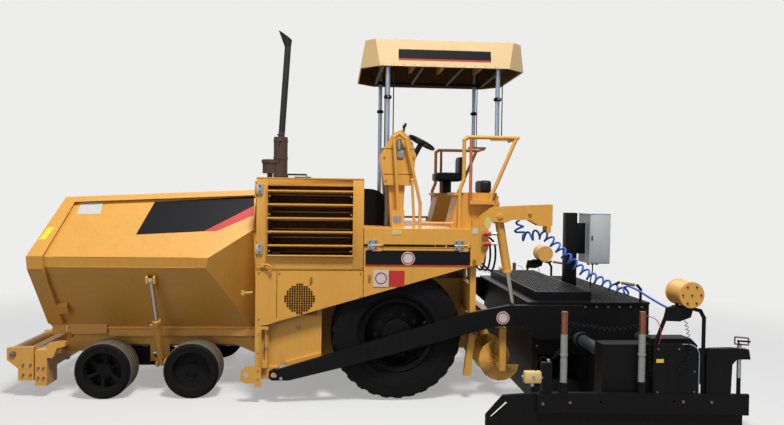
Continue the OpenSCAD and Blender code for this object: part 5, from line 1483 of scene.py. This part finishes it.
def lay_hoses(side):
    """Hydraulic hoses behind the deck, out of it and back into it."""
    for number, y in ((1, 0.860), (2, 0.925), (3, 0.990)):
        reach = 0.890 + 0.040 * number
        line = [
            (0.814, y, 1.710),
            (0.850, y, 1.708),
            (reach, y, 1.620),
            (reach + 0.030, y, 1.470),
            (reach, y + 0.010, 1.320),
            (reach - 0.060, y + 0.020, 1.330),
            (0.850, y + 0.025, 1.450),
            (0.845, y + 0.030, 1.590),
            (0.816, y + 0.030, 1.625),
        ]
        route = smooth_route(side.placed(line), 6)
        free_cord(f"deck_hose_{number}{side.suffix}", route, 0.022, "black_rubber", "chassis")


# Screed


class PAVER_OT_screed_trim(bpy.types.Operator):
    """Dresses the walkway, the cabinet, the tubes and their guides"""

    bl_idname = "paver.screed_trim"
    bl_label = "Screed trim"

    def execute(self, context):
        make_tread()
        dress_cabinet()
        for side in SIDES:
            dress_tubes(side)
        return {"FINISHED"}


def make_tread():
    """Raised bars of the tread plate, in two leans."""
    pitch = 0.060
    for number, turn, shift in ((1, 45, 0.0), (2, -45, 0.03)):
        places = []
        for i in range(9):
            for k in range(39):
                y = -1.150 + pitch * k + shift
                # The cabinet's foot keeps a patch free
                if abs(y) >= 0.12 or i >= 4:
                    places.append((2.080 + pitch * i + shift, y, 1.011))
        for i in range(9):
            places += [(1.480 + pitch * i + shift, -1.050 + pitch * k + shift, 1.101) for k in range(35)]
        size, lean = (0.042, 0.008, 0.004), (0, 0, math.radians(turn))
        bars(MIDDLE, f"tread_bars_{number}", "black_paint", "screed", places, size, lean)


def dress_cabinet():
    """Door, latch and glands of the control cabinet, on its black post."""
    rows = [
        (block, (2.350, -0.198, 1.322), (2.578, -0.189, 1.881)),
        (block, (2.335, -0.195, 1.893), (2.593, 0.195, 1.899)),
    ]
    build(MIDDLE, "cabinet_door", "grey_paint", "screed", rows, bevel=0.003)
    rows = [
        (block, (2.098, -0.067, 1.011), (2.232, 0.067, 1.903)),
        (block, (2.227, -0.052, 1.418), (2.338, 0.052, 1.782)),
        (block, (2.060, -0.110, 1.010), (2.270, 0.110, 1.026)),
    ]
    build(MIDDLE, "cabinet_post", "black_paint", "screed", rows, bevel=0.003)
    rows = [(block, (2.358, -0.206, 1.590), (2.374, -0.197, 1.640))]
    rows += [(rod, (x, 0.0, 1.280), (x, 0.0, 1.312), 0.018, 12) for x in (2.400, 2.450, 2.500)]
    build(MIDDLE, "cabinet_latch", "black_plastic", "screed", rows, bevel=0.002)
    lead = [(2.450, 0.0, 1.309), (2.450, 0.0, 1.200), (2.430, 0.0, 1.100), (2.430, 0.0, 1.012)]
    free_cord("cabinet_lead", smooth_route(MIDDLE.placed(lead), 6), 0.016, "black_rubber", "screed")


def dress_tubes(side):
    """Sleeves of the screed's guides, the bright skin of the sliding tubes, bolts and rail grips."""
    centre = (TUBE_XS[0], 0, TUBE_Z)
    rows = [
        (turned, band(0.0655, 0.0665, 1.215, 1.352), centre, side.out, 64),
        (turned, band(0.066, 0.079, 1.348, 1.372), centre, side.out, 36),
    ]
    build(side, "tube_guides", "grey_steel", "screed", rows)
    rows = [(rod, (x, y, TUBE_Z), (x, 2.046, TUBE_Z), 0.0551, 96) for x, y in zip(TUBE_XS, (1.376, 1.195))]
    build(side, "slide_tubes", "grey_steel", "extension", rows)
    heads = [(1.460 + 0.120 * i, 1.192, 0.960) for i in range(10)]
    heads += [(1.440, 1.192, 0.560 + 0.090 * i) for i in range(5)]
    studs(side, "screed_bolts", "bare_steel", "screed", heads, (0.014, 0.012, 0.012))
    grip = (rod, (2.330, 1.170, 1.2055), (2.470, 1.170, 1.1845), 0.0155, 12)
    build(side, "rail_grips", "rubbed_steel", "screed", [grip])


# End gates


class PAVER_OT_end_gates(bpy.types.Operator):
    """Dresses the depth screws, the canister, the sensor, the plates and the crank"""

    bl_idname = "paver.end_gates"
    bl_label = "End gate trim"

    def execute(self, context):
        for side in SIDES:
            dress_screws(side)
            dress_canister(side)
            dress_sensor(side)
            dress_plates(side)
            dress_crank(side)
            fasten_gate(side)
        return {"FINISHED"}


def dress_screws(side):
    """Sleeves, threads and nuts of the depth screws, and the crank's screw."""
    y = GATE_Y
    sleeves, tops = [], []
    for x in SCREW_XS:
        sleeves.append((rod, (x, y, 0.450), (x, y, 0.892), 0.0302, 24))
        sleeves.append((rod, (x, y, 0.700), (x, y, 0.716), 0.0345, 24))
        tops.append((rod, (x, y, 0.891), (x, y, 1.087), 0.0262, 20))
    build(side, "screw_sleeves", "white_sleeve", "extension", sleeves)
    build(side, "screw_tops", "copper", "extension", tops)
    threads = [(x, y, 0.898 + 0.0095 * i) for x in SCREW_XS for i in range(20)]
    studs(side, "screw_threads", "copper", "extension", threads, (0.0285, 0.0285, 0.0035), 16, UP)
    build(side, "crank_screw", "zinc", "extension", [(rod, (2.966, y, 0.500), (2.966, y, 0.790), 0.0192, 20)])
    nuts = [(x, y, z) for x in SCREW_XS for z in (0.352, 0.452)]
    studs(side, "screw_nuts", "black_paint", "extension", nuts, (0.046, 0.044, 0.018), 6, UP)


def dress_canister(side):
    """Shell of the canister with its two hoops, its bolts and the cable's socket."""
    x, z, radius, face_y = 2.490, 1.240, 0.110, 2.3235
    rows = [(rod, (x, 2.058, z), (x, 2.322, z), radius + 0.002, 48)]
    for y in (2.062, 2.309):
        rows.append((turned, band(radius, radius + 0.006, y - 0.006, y + 0.006), (x, 0, z), side.out, 48))
    build(side, "canister_shell", "canister_yellow", "extension", rows)
    bolts = ring_places(side.at(x, face_y, z), side.out, 0.082, 6) + [side.at(x, face_y, z)]
    studs(side, "canister_bolts", "black_paint", "extension", bolts, (0.009, 0.007, 0.006), 8)
    socket = (rod, (2.440, 2.150, 1.150), (2.440, 2.150, 1.112), 0.017, 12)
    build(side, "canister_socket", "black_rubber", "extension", [socket])


def dress_sensor(side):
    """The sensor's box with its trim, and its pale end caps."""
    box = (block, (1.020, 2.228, 0.465), (1.169, 2.300, 0.567))
    build(side, "sensor_box", "sensor_cream", "extension", [box], bevel=0.010)
    rows = [
        (block, (1.080, 2.299, 0.500), (1.112, 2.302, 0.534)),
        (rod, (1.095, GATE_Y, 0.466), (1.095, GATE_Y, 0.436), 0.016, 12),
        (rod, (1.235, GATE_Y, 0.640), (1.235, GATE_Y, 0.672), 0.014, 12),
    ]
    build(side, "sensor_trim", "zinc", "extension", rows, bevel=0.001)
    ends = [(rod, (x, 2.240, 0.516), (x, 2.292, 0.516), 0.012, 12) for x in (1.014, 1.170)]
    build(side, "sensor_ends", "white_sleeve", "extension", ends)


def dress_plates(side):
    """The bright edge of the gate's plate, its blank label and the guard's foot."""
    corner_x, corner_z, radius = 2.488, 0.702, 0.100
    angles = [math.radians(90 - 15 * i) for i in range(7)]
    arc = [(corner_x + radius * math.cos(t), corner_z + radius * math.sin(t)) for t in angles]
    route = [(x, PLATE_Y, z) for x, z in [(2.430, 0.802)] + arc + [(2.588, 0.360)]]
    build(side, "plate_edge", "zinc", "extension", [(swept, route, 0.005, 6)])
    label = (block, (2.195, PLATE_Y, 0.640), (2.262, PLATE_Y + 0.003, 0.672))
    build(side, "gate_label", "yellow_film", "extension", [label])
    foot = (block, (2.602, 2.236, 0.440), (2.684, 2.262, 0.760))
    build(side, "guard_foot", "black_paint", "extension", [foot], bevel=0.003)


def dress_crank(side):
    """The crank's handle, as a bent wire loop."""
    corners = [(x, 2.262, z) for x, z in ((2.925, 0.800), (2.925, 0.862), (3.052, 0.850), (3.052, 0.788))]
    rows = [(rod, a, b, 0.007, 8) for a, b in zip(corners, corners[1:] + corners[:1])]
    build(side, "crank_handle", "bare_steel", "extension", rows)


def fasten_gate(side):
    """Heads of the bolts on the end gate's beam and on its plate."""
    heads = [(x, 2.302, z) for x, z in ((2.440, 0.296), (2.700, 0.290), (1.420, 0.300), (1.180, 0.290))]
    studs(side, "beam_heads", "bare_steel", "extension", heads, (0.015, 0.013, 0.010))
    spots = ((2.210, 0.380), (2.545, 0.380), (2.210, 0.760), (2.400, 0.760), (2.545, 0.560))
    heads = [(x, PLATE_Y + 0.002, z) for x, z in spots]
    studs(side, "plate_heads", "bare_steel", "extension", heads, (0.010, 0.008, 0.007))


class PAVER_PT_panel(bpy.types.Panel):
    """Lists the paver's operators"""

    bl_label = "Paver"
    bl_idname = "PAVER_PT_panel"
    bl_space_type = "VIEW_3D"
    bl_region_type = "UI"
    bl_category = "Paver"

    def draw(self, context):
        for operator in OPERATORS:
            self.layout.operator(operator.bl_idname)


OPERATORS = (
    PAVER_OT_stage,
    PAVER_OT_cables,
    PAVER_OT_finishes,
    PAVER_OT_films,
    PAVER_OT_engine_side,
    PAVER_OT_wheels,
    PAVER_OT_hopper_trim,
    PAVER_OT_arm_trim,
    PAVER_OT_station,
    PAVER_OT_canopy,
    PAVER_OT_exhaust,
    PAVER_OT_lift_trim,
    PAVER_OT_screed_trim,
    PAVER_OT_end_gates,
)
CLASSES = (PaverColours, PaverSizes) + OPERATORS + (PAVER_PT_panel,)


def register():
    for cls in CLASSES:
        bpy.utils.register_class(cls)
    bpy.types.Scene.paver_colours = bpy.props.PointerProperty(type=PaverColours)
    bpy.types.Scene.paver_sizes = bpy.props.PointerProperty(type=PaverSizes)


def unregister():
    del bpy.types.Scene.paver_sizes
    del bpy.types.Scene.paver_colours
    for cls in reversed(CLASSES):
        bpy.utils.unregister_class(cls)


def main():
    register()
    for operator in OPERATORS:
        category, action = operator.bl_idname.split(".")
        getattr(getattr(bpy.ops, category), action)()


if __name__ == "__main__":
    main()
